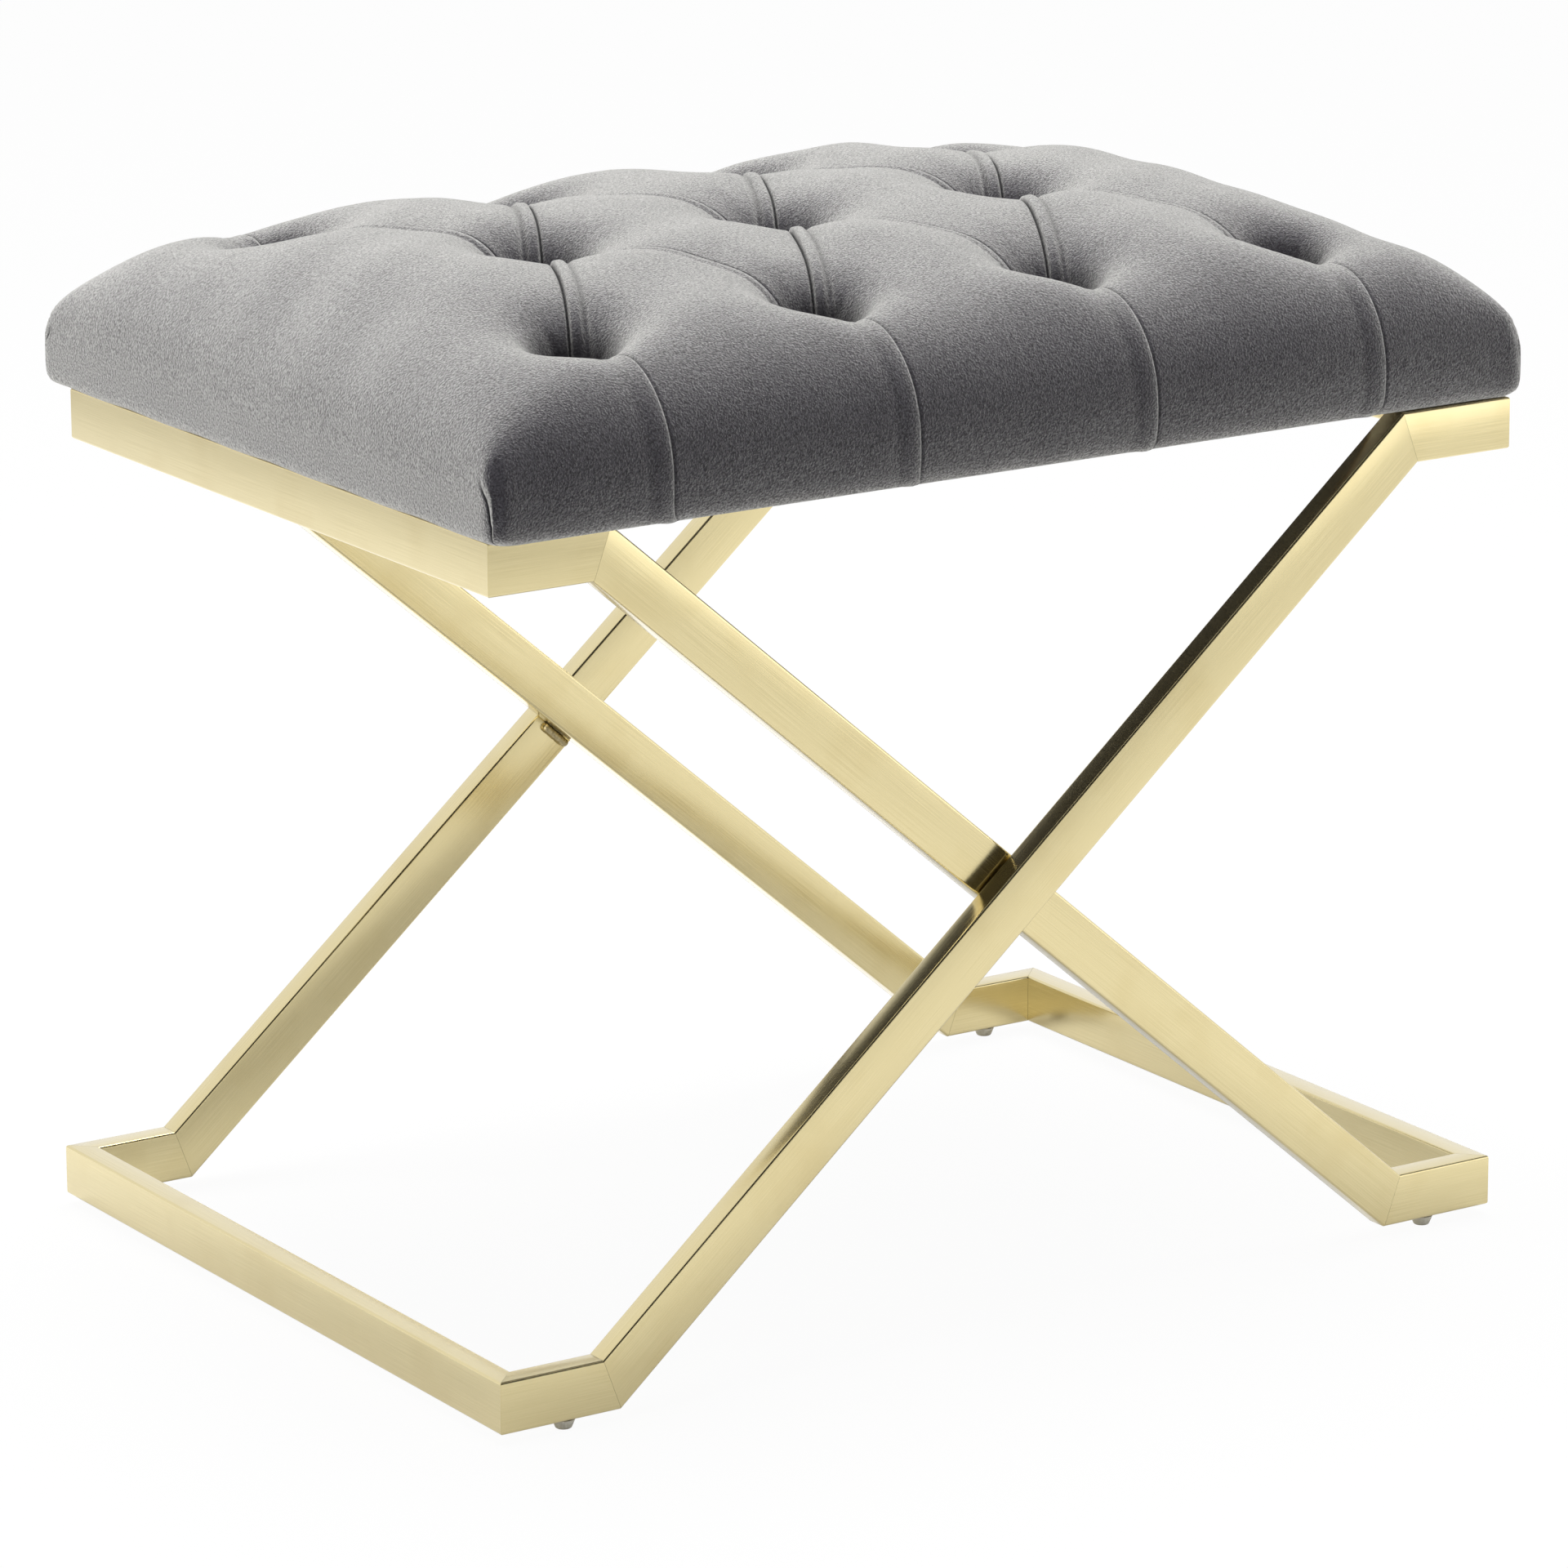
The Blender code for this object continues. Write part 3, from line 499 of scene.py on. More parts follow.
# Grain lines 1.5 mm apart, long in X, and 1.5 mm plies in Z
grain_place = add_node(
    plywood, "ShaderNodeMapping", {"Vector": plywood_place.outputs["Object"], "Scale": (12.0, 650.0, 650.0)}
)
grain = add_node(
    plywood, "ShaderNodeTexNoise", {"Vector": grain_place.outputs["Vector"], "Scale": 1.0, "Detail": 4.0}
)
plywood_tone = add_node(
    plywood,
    "ShaderNodeMix",
    {0: grain.outputs["Fac"], 6: linear("#B98F5E"), 7: linear("#DDBB8A")},
    data_type="RGBA",
)
set_inputs(plywood, plywood_shader, {"Base Color": plywood_tone.outputs[2], "Roughness": 0.65})
dress(nodes["seat_board"], plywood)


# Foam pad
# One block of seat foam on the board, crowned at the middle and pulled down at the eleven tufts.
# It is hidden under the cover and gives the cover its form. Its lengths are in mm.

MM = 0.001
cover_low, cover_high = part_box("velvet_cover")
SEAT_HALF_LENGTH = cover_high.x / MM
SEAT_HALF_WIDTH = cover_high.y / MM
SEAT_BASE = cover_low.z / MM
SEAT_CORNER = 9.0
WIDEST_HEIGHT = 10.3
SIDE_LIFT = 8.0
SIDE_LIFT_REACH = 70.0
EDGE_RISE = 64.8
CROWN_RISE = 19.6
CROWN_FULLNESS = 8.0
SIDE_ROUND = 72.4
SIDE_FULLNESS = 2.26
END_ROUND = 195.0
END_FULLNESS = 3.6
CORNER_FULLNESS = 4.2
LEAST_RISE = 0.02
TUFT_PITCH = 133.5
TUFT_ROW = 138.0
TUFT_SEAT = 8.5
TUFT_SLOPE = 13.9
BUTTON_GAP = 0.4
BUTTON_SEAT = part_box("tuft_button_middle_2")[0].z / MM - SEAT_BASE - BUTTON_GAP
EDGE_VALLEY = 6.1
EDGE_VALLEY_REACH = 27.0
EDGE_VALLEY_FADE = (6.0, 56.0)
SLANT_VALLEY = 3.5
SLANT_VALLEY_REACH = 43.0
SLACK = 0.45
SLACK_LENGTHS = (45.0, 120.0)
FOAM_THREADS = 7.0
FOAM_UNDER_COVER = 2.2
chance = np.random.default_rng(11)

tuft_rows = []
for row, count in ((-1, 4), (0, 3), (1, 4)):
    across = [(step - (count - 1) / 2) * TUFT_PITCH for step in range(count)]
    tuft_rows.append([np.array((x, row * TUFT_ROW)) for x in across])
front_tufts, middle_tufts, back_tufts = tuft_rows
all_tufts = front_tufts + middle_tufts + back_tufts
slant_pleats = []
for index, tuft in enumerate(middle_tufts):
    for outer_row in (front_tufts, back_tufts):
        slant_pleats.append((tuft, outer_row[index]))
        slant_pleats.append((tuft, outer_row[index + 1]))
edge_pleats = []
for tuft in front_tufts + back_tufts:
    edge_pleats.append((tuft, np.array((tuft[0], math.copysign(SEAT_HALF_WIDTH, tuft[1])))))

# Slack waves in the skin: each one's direction, start and length
slack_waves = []
for _ in range(5):
    turn = chance.uniform(0.0, math.pi)
    start = chance.uniform(0.0, 2.0 * math.pi)
    slack_waves.append((turn, start, chance.uniform(*SLACK_LENGTHS)))


def smooth_step(start, end, value):
    """0 before start, 1 after end, and a smooth rise between them."""
    share = np.clip((value - start) / (end - start), 0.0, 1.0)
    return share * share * (3.0 - 2.0 * share)


def pleat_distance(places, pleat):
    """Distance in plan from each place to a straight pleat."""
    start, end = pleat
    run = end - start
    share = np.clip((places - start) @ run / (run @ run), 0.0, 1.0)
    return np.linalg.norm(places - start - share[:, None] * run, axis=1)


def widest_height(places):
    """Height in mm at which the cushion is widest, by places in plan; the long sides bulge higher up."""
    from_end = SEAT_HALF_LENGTH - np.abs(places[:, 0])
    return WIDEST_HEIGHT + SIDE_LIFT * smooth_step(0.0, SIDE_LIFT_REACH, from_end)


def cushion_height(places):
    """Height of the stuffed cushion's skin above its underside at places in plan, all in mm."""
    from_end = SEAT_HALF_LENGTH - np.abs(places[:, 0])
    from_side = SEAT_HALF_WIDTH - np.abs(places[:, 1])
    end_rise = 1.0 - np.clip(1.0 - from_end / END_ROUND, 0.0, 1.0) ** END_FULLNESS
    side_rise = 1.0 - np.clip(1.0 - from_side / SIDE_ROUND, 0.0, 1.0) ** SIDE_FULLNESS
    end_rise = end_rise ** (1.0 / END_FULLNESS)
    side_rise = side_rise ** (1.0 / SIDE_FULLNESS)
    share = np.maximum(end_rise, LEAST_RISE) ** -CORNER_FULLNESS
    share = share + np.maximum(side_rise, LEAST_RISE) ** -CORNER_FULLNESS
    share = (share - 1.0) ** (-1.0 / CORNER_FULLNESS)
    end_fall = np.abs(places[:, 0] / SEAT_HALF_LENGTH) ** CROWN_FULLNESS
    side_fall = (places[:, 1] / SEAT_HALF_WIDTH) ** 2
    crown = EDGE_RISE + CROWN_RISE * (1.0 - end_fall) * (1.0 - side_fall)
    for turn, start, length in slack_waves:
        ahead = places[:, 0] * math.cos(turn) + places[:, 1] * math.sin(turn)
        crown = crown + SLACK * np.sin(start + 2.0 * math.pi * ahead / length)
    from_tuft = np.min([np.linalg.norm(places - tuft, axis=1) for tuft in all_tufts], axis=0)
    from_edge_pleat = np.min([pleat_distance(places, pleat) for pleat in edge_pleats], axis=0)
    from_slant = np.min([pleat_distance(places, pleat) for pleat in slant_pleats], axis=0)
    edge_valley = EDGE_VALLEY * np.maximum(0.0, 1.0 - from_edge_pleat / EDGE_VALLEY_REACH) ** 2
    edge_valley = edge_valley * smooth_step(*EDGE_VALLEY_FADE, from_side)
    slant_valley = SLANT_VALLEY * np.maximum(0.0, 1.0 - from_slant / SLANT_VALLEY_REACH) ** 2
    lift = (widest_height(places) - WIDEST_HEIGHT) * (1.0 - side_rise)
    plump = WIDEST_HEIGHT + lift + share * (crown - np.maximum(edge_valley, slant_valley))
    pulled_down = np.exp(-np.maximum(0.0, from_tuft - TUFT_SEAT) / TUFT_SLOPE)
    return plump - share * (plump - BUTTON_SEAT) * pulled_down


def thread_lines(half, rounding, fullness, spacing):
    """Places of a skin's threads across the seat: even on top, and even round the edge's curve."""
    inset = rounding * np.linspace(0.0, 1.0, 4001) ** 6
    rise = EDGE_RISE * (1.0 - (1.0 - inset / rounding) ** fullness) ** (1.0 / fullness)
    along = np.concatenate([[0.0], np.cumsum(np.hypot(np.diff(inset), np.diff(rise)))])
    steps = round(along[-1] / spacing)
    edge = half - np.interp(np.linspace(0.0, along[-1], steps + 1), along, inset)
    count = round(2 * edge[-1] / spacing)
    middle = np.linspace(-edge[-1], edge[-1], count + 1)
    return np.concatenate([-edge[:-1], middle, edge[:-1][::-1]])


def cushion_skin(name, columns, rows, rings):
    """A flat skin for the cushion: a grid of threads for its top, then rings below it.

    Its plan, before the corners are rounded, is kept in two vertex attributes.
    """
    bpy.ops.object.select_all(action="DESELECT")
    bpy.ops.mesh.primitive_grid_add(x_subdivisions=len(columns) - 1, y_subdivisions=len(rows) - 1, size=2.0)
    skin = bpy.context.object
    skin.name = name
    skin.data.name = name
    across, along = np.meshgrid(columns, rows)
    plan = np.stack([across.ravel(), along.ravel()], axis=1)
    flat = np.column_stack([plan, np.zeros(len(plan))])
    skin.data.vertices.foreach_set("co", flat.ravel())
    for label, values in (("plan_x", plan[:, 0]), ("plan_y", plan[:, 1])):
        layer = skin.data.attributes.new(label, "FLOAT", "POINT")
        layer.data.foreach_set("value", values)
    bpy.ops.object.mode_set(mode="EDIT")
    bpy.ops.mesh.select_mode(type="EDGE")
    for _ in rings:
        bpy.ops.mesh.select_all(action="DESELECT")
        bpy.ops.mesh.select_non_manifold()
        bpy.ops.mesh.extrude_edges_move(TRANSFORM_OT_translate={"value": (0.0, 0.0, -1.0)})
    bpy.ops.mesh.select_all(action="SELECT")
    bpy.ops.mesh.normals_make_consistent(inside=False)
    bpy.ops.object.mode_set(mode="OBJECT")
    return skin


def read_plan(skin):
    """A skin's vertex places, and the plan place that each came from."""
    count = len(skin.data.vertices)
    places = np.empty(3 * count)
    skin.data.vertices.foreach_get("co", places)
    plan = np.empty((count, 2))
    for axis, label in enumerate(("plan_x", "plan_y")):
        values = np.empty(count)
        skin.data.attributes[label].data.foreach_get("value", values)
        plan[:, axis] = values
    return places.reshape(-1, 3), plan


def shape_skin(skin, rings):
    """Raises a flat skin to the cushion's form and rounds its corners.

    A vertex's flat Z counts the rings down to it. Each ring begins with its inset at the ends, its
    inset at the sides, and its share of the widest height.
    """
    places, plan = read_plan(skin)
    ring = np.rint(-places[:, 2]).astype(int)
    inset = np.array([(0.0, 0.0)] + [step[:2] for step in rings])[ring]
    share = np.array([0.0] + [step[2] for step in rings])[ring]
    height = np.where(ring == 0, cushion_height(plan), share * widest_height(plan))
    shaped = np.empty_like(places)
    half = np.array([SEAT_HALF_LENGTH, SEAT_HALF_WIDTH])
    shaped[:, :2] = plan * (1.0 - inset / half)
    corner = np.maximum(0.0, np.abs(plan) - (half - SEAT_CORNER))
    reach = np.hypot(corner[:, 0], corner[:, 1])
    pulled = np.where(reach > 0.0, np.max(corner, axis=1) / np.maximum(reach, 1e-9), 1.0)
    shaped[:, :2] += np.sign(plan) * corner * (pulled[:, None] - 1.0)
    shaped[:, 2] = height + SEAT_BASE
    skin.data.vertices.foreach_set("co", (shaped * MM).ravel())
    skin.data.update()


def move_along_normals(skin, distances):
    """Moves each vertex of a skin along its normal, by a distance in mm."""
    count = len(skin.data.vertices)
    places = np.empty(3 * count)
    skin.data.vertices.foreach_get("co", places)
    normals = np.empty(3 * count)
    skin.data.vertex_normals.foreach_get("vector", normals)
    moved = places.reshape(-1, 3) + normals.reshape(-1, 3) * distances[:, None] * MM
    skin.data.vertices.foreach_set("co", moved.ravel())
    skin.data.update()


# Seat foam: pale yellow open cells with no shine
foam, foam_shader = new_finish("open_cell_seat_foam")
foam_place = add_node(foam, "ShaderNodeTexCoord", {})
# Open cells about 1 mm across
cells = add_node(foam, "ShaderNodeTexVoronoi", {"Vector": foam_place.outputs["Object"], "Scale": 1000.0})
foam_tone = add_node(
    foam,
    "ShaderNodeMix",
    {0: cells.outputs["Distance"], 6: linear("#D9CFA8"), 7: linear("#EFE7C9")},
    data_type="RGBA",
)
set_inputs(foam, foam_shader, {"Base Color": foam_tone.outputs[2], "Roughness": 0.95})

foam_rings = [(0.3, 0.3, 1.0)]
foam_pad = cushion_skin(
    "seat_foam",
    thread_lines(SEAT_HALF_LENGTH, END_ROUND, END_FULLNESS, FOAM_THREADS),
    thread_lines(SEAT_HALF_WIDTH, SIDE_ROUND, SIDE_FULLNESS, FOAM_THREADS),
    foam_rings,
)
shape_skin(foam_pad, foam_rings)
move_along_normals(foam_pad, np.full(len(foam_pad.data.vertices), -FOAM_UNDER_COVER))
bpy.ops.object.mode_set(mode="EDIT")
bpy.ops.mesh.select_mode(type="EDGE")
bpy.ops.mesh.select_all(action="DESELECT")
bpy.ops.mesh.select_non_manifold()
bpy.ops.mesh.edge_face_add()
finish_piece(foam_pad, foam, angle=60.0)
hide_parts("foam_pad")


# Velvet cover
# One piece of grey velvet drawn over the foam, pleated from tuft to tuft and down the long sides,
# folded at the corners, and turned under the board to a hem that staples hold. Lengths are in mm.

COVER_THICKNESS = 1.2
COVER_THREADS = 3.0
ON_TOP = -0.2
GATHER_REACH = 34.0
CREASE_CUTS = (-1.9, -1.1, -0.35, 0.15, 0.7, 1.4)
CREASE_CLEAR = 0.5
ROLL_CUTS = (4.4, 5.8, 7.0, 8.2, 9.6)
CUT_REACH = 13.0
CUT_SPARE = 4.0
CUT_SNAP = 0.04
CORNER_FOLD = 1.5
CORNER_FOLD_RAISE = 0.8
CORNER_FOLD_SINK = 0.6
CORNER_FOLD_TOP = (25.0, 31.0)
CORNER_ROWS = (-0.9, 5.0, 0.45)
CORNER_ROWS_CLEAR = 3.4
SWEEP_BEND = 0.006
SWEEP_STEP = 5.0
SWEEP_REACH = 5.0
GATHERS = 8

# Each ring: its inset at the ends, its inset at the sides, its share of the widest height, how
# much of the folds' relief it takes, and how much it hangs
cover_rings = [
    (0.0, 0.0, 0.98, 1.0, 0.0),
    (0.1, 0.15, 0.72, 1.0, 0.15),
    (0.4, 0.6, 0.48, 1.0, 0.35),
    (1.2, 1.2, 0.30, 0.8, 0.6),
    (2.8, 2.0, 0.19, 0.5, 0.85),
    (5.2, 3.0, 0.08, 0.2, 1.0),
    (7.5, 4.2, 0.015, 0.0, 0.0),
    (14.0, 10.0, 0.0, 0.0, 0.0),
    (33.0, 29.0, 0.0, 0.0, 0.0),
]

# Each kind of fold: how far its crease stands to the right of the pleat, the side that its rolled
# edge lies on, the roll's width, rise, share of width where it starts to fall and hollow behind it,
# the crease's width and depth, and the shares of painted highlight beside the crease and painted shade at
# the far side
Fold = namedtuple("Fold", "offset side width rise fall hollow crease depth rim shade")
FRONT_RISING_FOLD = Fold(0.0, 1.0, 7.3, 1.7, 0.6, 0.75, 0.75, 1.5, 0.25, 0.4)
FRONT_FALLING_FOLD = Fold(0.0, -1.0, 6.0, 0.5, 0.6, 0.75, 0.75, 0.7, 0.25, 0.0)
BACK_RISING_FOLD = Fold(2.0, -1.0, 7.3, 1.6, 0.6, 0.75, 0.75, 1.5, 0.25, 0.4)
BACK_FALLING_FOLD = Fold(0.0, -1.0, 6.0, 0.9, 0.6, 0.75, 0.75, 1.6, 0.25, 0.0)
EDGE_FOLD = Fold(5.5, -1.0, 11.0, 0.45, 0.45, 0.6, 0.55, 0.5, 0.5, 0.16)

slant_folds = []
for start, end in slant_pleats:
    rising = (end[0] - start[0]) * (end[1] - start[1]) > 0.0
    if end[1] < 0.0:
        slant_folds.append((start, end, FRONT_RISING_FOLD if rising else FRONT_FALLING_FOLD))
    else:
        slant_folds.append((start, end, BACK_RISING_FOLD if rising else BACK_FALLING_FOLD))
edge_folds = [(start, end, EDGE_FOLD) for start, end in edge_pleats]


def hump(value, centre, width):
    """1 at a centre, and a smooth fall to 0 on both sides of it."""
    return np.exp(-(((value - centre) / width) ** 2))


def pleat_ways(start, end):
    """A pleat's length in plan, the way along it, and the way across it to the right."""
    length = np.linalg.norm(end - start)
    run = (end - start) / length
    return length, run, np.array((run[1], -run[0])) * math.copysign(1.0, run[1])


columns = thread_lines(SEAT_HALF_LENGTH, END_ROUND, END_FULLNESS, COVER_THREADS)
crease_columns = np.array([tuft[0] + EDGE_FOLD.offset - cut for tuft in front_tufts for cut in CREASE_CUTS])
clear = np.min(np.abs(columns[:, None] - crease_columns), axis=1) > CREASE_CLEAR
columns = np.sort(np.concatenate([columns[clear], crease_columns]))
rows = thread_lines(SEAT_HALF_WIDTH, SIDE_ROUND, SIDE_FULLNESS, COVER_THREADS)
corner_rows = SEAT_HALF_WIDTH - CORNER_FOLD - np.arange(*CORNER_ROWS)
clear = np.abs(np.abs(rows) - np.mean(corner_rows)) > CORNER_ROWS_CLEAR
rows = np.sort(np.concatenate([rows[clear], corner_rows, -corner_rows]))
velvet_cover = cushion_skin("velvet_seat_cover", columns, rows, cover_rings)

# The flat cloth gets finer threads round the tufts, and its creases, before it is drawn over the foam
cloth = bmesh.new()
cloth.from_mesh(velvet_cover.data)
gathered = []
for edge in cloth.edges:
    middle = (edge.verts[0].co + edge.verts[1].co) / 2
    place = np.array((middle.x, middle.y))
    if middle.z > ON_TOP and min(np.linalg.norm(place - tuft) for tuft in all_tufts) < GATHER_REACH:
        gathered.append(edge)
bmesh.ops.subdivide_edges(cloth, edges=gathered, cuts=1, use_grid_fill=True)
for start, end, fold in slant_folds:
    length, run, across = pleat_ways(start, end)
    near = []
    for face in cloth.faces:
        centre = face.calc_center_median()
        place = np.array((centre.x, centre.y)) - start
        along_pleat = -CUT_SPARE < place @ run < length + CUT_SPARE
        if centre.z > ON_TOP and abs(place @ across) < CUT_REACH and along_pleat:
            near.append(face)
    geometry = near + list(dict.fromkeys(edge for face in near for edge in face.edges))
    geometry += list(dict.fromkeys(vert for face in near for vert in face.verts))
    for cut in CREASE_CUTS + ROLL_CUTS:
        point = start + across * (fold.offset + fold.side * cut)
        geometry = bmesh.ops.bisect_plane(
            cloth,
            geom=geometry,
            dist=CUT_SNAP,
            plane_co=(point[0], point[1], 0.0),
            plane_no=(across[0], across[1], 0.0),
        )["geom"]
cloth.to_mesh(velvet_cover.data)
cloth.free()
places, plan = read_plan(velvet_cover)
top = places[:, 2] > ON_TOP
plan[top] = places[top, :2]
ring = np.rint(-places[:, 2]).astype(int)
# At each corner the end's threads sweep away from the corner as they rise, along the fold to come
from_end = SEAT_HALF_LENGTH - np.abs(plan[:, 0])
from_side = SEAT_HALF_WIDTH - np.abs(plan[:, 1])
round_corner = CORNER_FOLD + from_end - from_side
height = np.where(ring == 0, cushion_height(plan), 0.0)
sweep = SWEEP_BEND * height ** 2 + SWEEP_STEP * smooth_step(20.0, 29.0, height)
sweep *= 1.0 - smooth_step(30.0, 46.0, height)
past_fold = 1.0 - smooth_step(CORNER_FOLD + 4.0, CORNER_FOLD + 44.0, from_side)
sweep *= smooth_step(0.0, CORNER_FOLD, from_side) * past_fold
plan[:, 1] -= np.sign(plan[:, 1]) * sweep * hump(from_end, 0.0, SWEEP_REACH)
for axis, label in enumerate(("plan_x", "plan_y")):
    velvet_cover.data.attributes[label].data.foreach_set("value", plan[:, axis].copy())
shape_skin(velvet_cover, cover_rings)

places, plan = read_plan(velvet_cover)
height = places[:, 2] / MM - SEAT_BASE
relief = np.zeros(len(plan))
# Painted shade and painted highlights for the velvet's colour, marked on the vertices
painted_shade = np.zeros(len(plan))
rim = np.zeros(len(plan))
for start, end, fold in slant_folds + edge_folds:
    length, run, across = pleat_ways(start, end)
    beside = ((plan - start) @ across - fold.offset) * fold.side
    ahead = (plan - start) @ run
    far_side = 1.1 * fold.width
    roll = smooth_step(0.15, 1.6, beside) * (1.0 - smooth_step(fold.fall * fold.width, far_side, beside))
    hollow = fold.hollow * hump(beside, far_side, 0.22 * fold.width)
    crease = hump(beside, -0.1, fold.crease)
    within = smooth_step(7.0, 11.0, ahead)
    if fold is not EDGE_FOLD:
        within = within * (1.0 - smooth_step(length - 11.0, length - 7.0, ahead))
    relief += within * (fold.rise * (roll - hollow) - fold.depth * crease)
    # Painted shade in the crease and at the far side of the roll, and a painted highlight beside the crease
    painted_shade = np.maximum(painted_shade, within * crease * min(1.0, fold.depth))
    painted_shade = np.maximum(painted_shade, fold.shade * within * hump(beside, fold.width, 0.17 * fold.width))
    rim = np.maximum(rim, fold.rim * within * hump(beside, 0.7, 0.4))
# Small gathers round each button, where the pile cloth is drawn in
for tuft in all_tufts:
    away = plan - tuft
    distance = np.linalg.norm(away, axis=1)
    # Painted shade in the pit round each button
    painted_shade = np.maximum(painted_shade, 1.0 - smooth_step(11.0, 29.0, distance))
    turns = np.linspace(0.0, 2.0 * math.pi, GATHERS + 1)[:-1]
    for turn in turns + chance.uniform(-0.3, 0.3, GATHERS):
        ahead = away @ np.array((math.cos(turn), math.sin(turn)))
        beside = away @ np.array((-math.sin(turn), math.cos(turn)))
        last = chance.uniform(18.0, 32.0)
        gather = hump(beside, 0.0, 1.2 + 0.06 * distance) * smooth_step(8.0, 13.0, ahead)
        relief -= chance.uniform(0.3, 1.1) * gather * (1.0 - smooth_step(0.5 * last, last, distance))
# The long side's cloth is drawn round each corner and folded over the end's cloth
low_down = 1.0 - smooth_step(*CORNER_FOLD_TOP, height)
corner_roll = smooth_step(0.0, 1.0, round_corner) * (1.0 - smooth_step(4.0, 24.0, round_corner))
corner_crease = hump(round_corner, -0.5, 0.6)
corner_lift = low_down * (CORNER_FOLD_RAISE * corner_roll - CORNER_FOLD_SINK * corner_crease)
# Painted shade in the corner fold's crease, and a painted highlight along its edge
painted_shade = np.maximum(painted_shade, low_down * corner_crease)
rim = np.maximum(rim, low_down * hump(round_corner, 0.7, 0.4))
# All of it dies away where the cloth turns under the board
turned_under = np.array([1.0] + [step[3] for step in cover_rings])[ring]
move_along_normals(velvet_cover, relief * turned_under)
# The lower edge hangs in small waves, and lower where the cloth is doubled, at pleats and corners
hang = np.array([0.0] + [step[4] for step in cover_rings])[ring]
from_corner = np.abs(plan) - np.array([SEAT_HALF_LENGTH, SEAT_HALF_WIDTH])
to_corner = np.linalg.norm(from_corner, axis=1)
round_way = np.sign(plan) * np.maximum(0.0, from_corner + SEAT_CORNER)
round_way /= np.maximum(np.linalg.norm(round_way, axis=1), 1e-9)[:, None]
doubled = np.sum([hump(plan[:, 0] - tuft[0], 1.0, 5.0) for tuft in front_tufts], axis=0)
waves = 0.35 + 0.35 * np.sin(plan[:, 0] / 9.0 + 2.0 * np.sin(plan[:, 0] / 31.0) + plan[:, 1] / 11.0)
places, _ = read_plan(velvet_cover)
places[:, :2] += round_way * (corner_lift * turned_under)[:, None] * MM
places[:, 2] -= hang * (waves + 0.9 * doubled + 0.3 * hump(to_corner, 0.0, 16.0)) * MM
velvet_cover.data.vertices.foreach_set("co", places.ravel())
# Above 0 the mark is painted shade, and below 0 it is a painted highlight; the hem has neither
painted_light_mark = velvet_cover.data.attributes.new("crease", "FLOAT", "POINT")
painted_light_mark.data.foreach_set("value", np.where(painted_shade > rim, painted_shade, -rim) * (ring < len(cover_rings) - 2))

# Cut-pile velvet: a dull dark ground of short pile with a fine nap and brushed patches. Its colour holds a
# painted sheen, pale where it is seen edge-on, so ridges and far slopes look pale and what faces the eye
# looks dark.
velvet, velvet_shader = new_finish("grey_cut_pile_velvet")
velvet_place = add_node(velvet, "ShaderNodeTexCoord", {})
# Tufts of pile about 1 mm across; the real pile is finer, and this is as coarse as shows
pile = add_node(
    velvet,
    "ShaderNodeTexNoise",
    {"Vector": velvet_place.outputs["Object"], "Scale": 950.0, "Detail": 3.0, "Roughness": 0.65},
)
pile_relief = add_node(
    velvet, "ShaderNodeBump", {"Height": pile.outputs["Fac"], "Strength": 0.75, "Distance": 0.001}
)
# The painted sheen is worked out as if all the pile leans towards the left end, and down where the cloth
# turns over that end
lean_way = add_node(
    velvet,
    "ShaderNodeVectorMath",
    {0: pile_relief.outputs["Normal"], 1: (0.0, 1.0, 0.0)},
    operation="CROSS_PRODUCT",
)
pile_way = add_node(
    velvet,
    "ShaderNodeVectorMath",
    {0: lean_way.outputs["Vector"], 1: (0.3, 0.3, 0.3), 2: pile_relief.outputs["Normal"]},
    operation="MULTIPLY_ADD",
)
pile_line = add_node(velvet, "ShaderNodeVectorMath", {0: pile_way.outputs["Vector"]}, operation="NORMALIZE")
edge_on = add_node(velvet, "ShaderNodeLayerWeight", {"Blend": 0.5, "Normal": pile_line.outputs["Vector"]})
# Patches about 60 mm across where the pile leans another way
lean = add_node(
    velvet, "ShaderNodeTexNoise", {"Vector": velvet_place.outputs["Object"], "Scale": 16.0, "Detail": 2.0}
)
leaned = add_node(
    velvet, "ShaderNodeMath", {0: lean.outputs["Fac"], 1: 0.12, 2: -0.06}, operation="MULTIPLY_ADD"
)
leaned_edge = add_node(
    velvet, "ShaderNodeMath", {0: edge_on.outputs["Facing"], 1: leaned.outputs["Value"]}, operation="ADD"
)
# Painted highlight along the edge of a fold, and painted shade in its crease, round the buttons and at a
# fold's far side
painted_light_attribute = add_node(velvet, "ShaderNodeAttribute", {}, attribute_name="crease")
rim_light = add_node(
    velvet, "ShaderNodeMapRange", {"Value": painted_light_attribute.outputs["Fac"], "From Max": -1.0, "To Max": 0.5}
)
edge_share = add_node(
    velvet,
    "ShaderNodeMath",
    {0: leaned_edge.outputs["Value"], 1: rim_light.outputs["Result"]},
    operation="ADD",
)
# Painted sheen: the colour runs from dark where the cloth faces the eye to pale where it is seen edge-on
painted_sheen_share = add_node(
    velvet, "ShaderNodeMapRange", {"Value": edge_share.outputs["Value"], "From Min": 0.2, "From Max": 0.75}
)
painted_sheen_tone = add_node(
    velvet,
    "ShaderNodeMix",
    {0: painted_sheen_share.outputs["Result"], 6: linear("#535157"), 7: linear("#CECECA")},
    data_type="RGBA",
)
nap = add_node(
    velvet,
    "ShaderNodeMapRange",
    {"Value": pile.outputs["Fac"], "From Min": 0.35, "From Max": 0.65, "To Max": 0.85},
)
velvet_tone = add_node(
    velvet,
    "ShaderNodeMix",
    {0: nap.outputs["Result"], 6: painted_sheen_tone.outputs[2], 7: linear("#8F8C8E")},
    data_type="RGBA",
    blend_type="MULTIPLY",
)
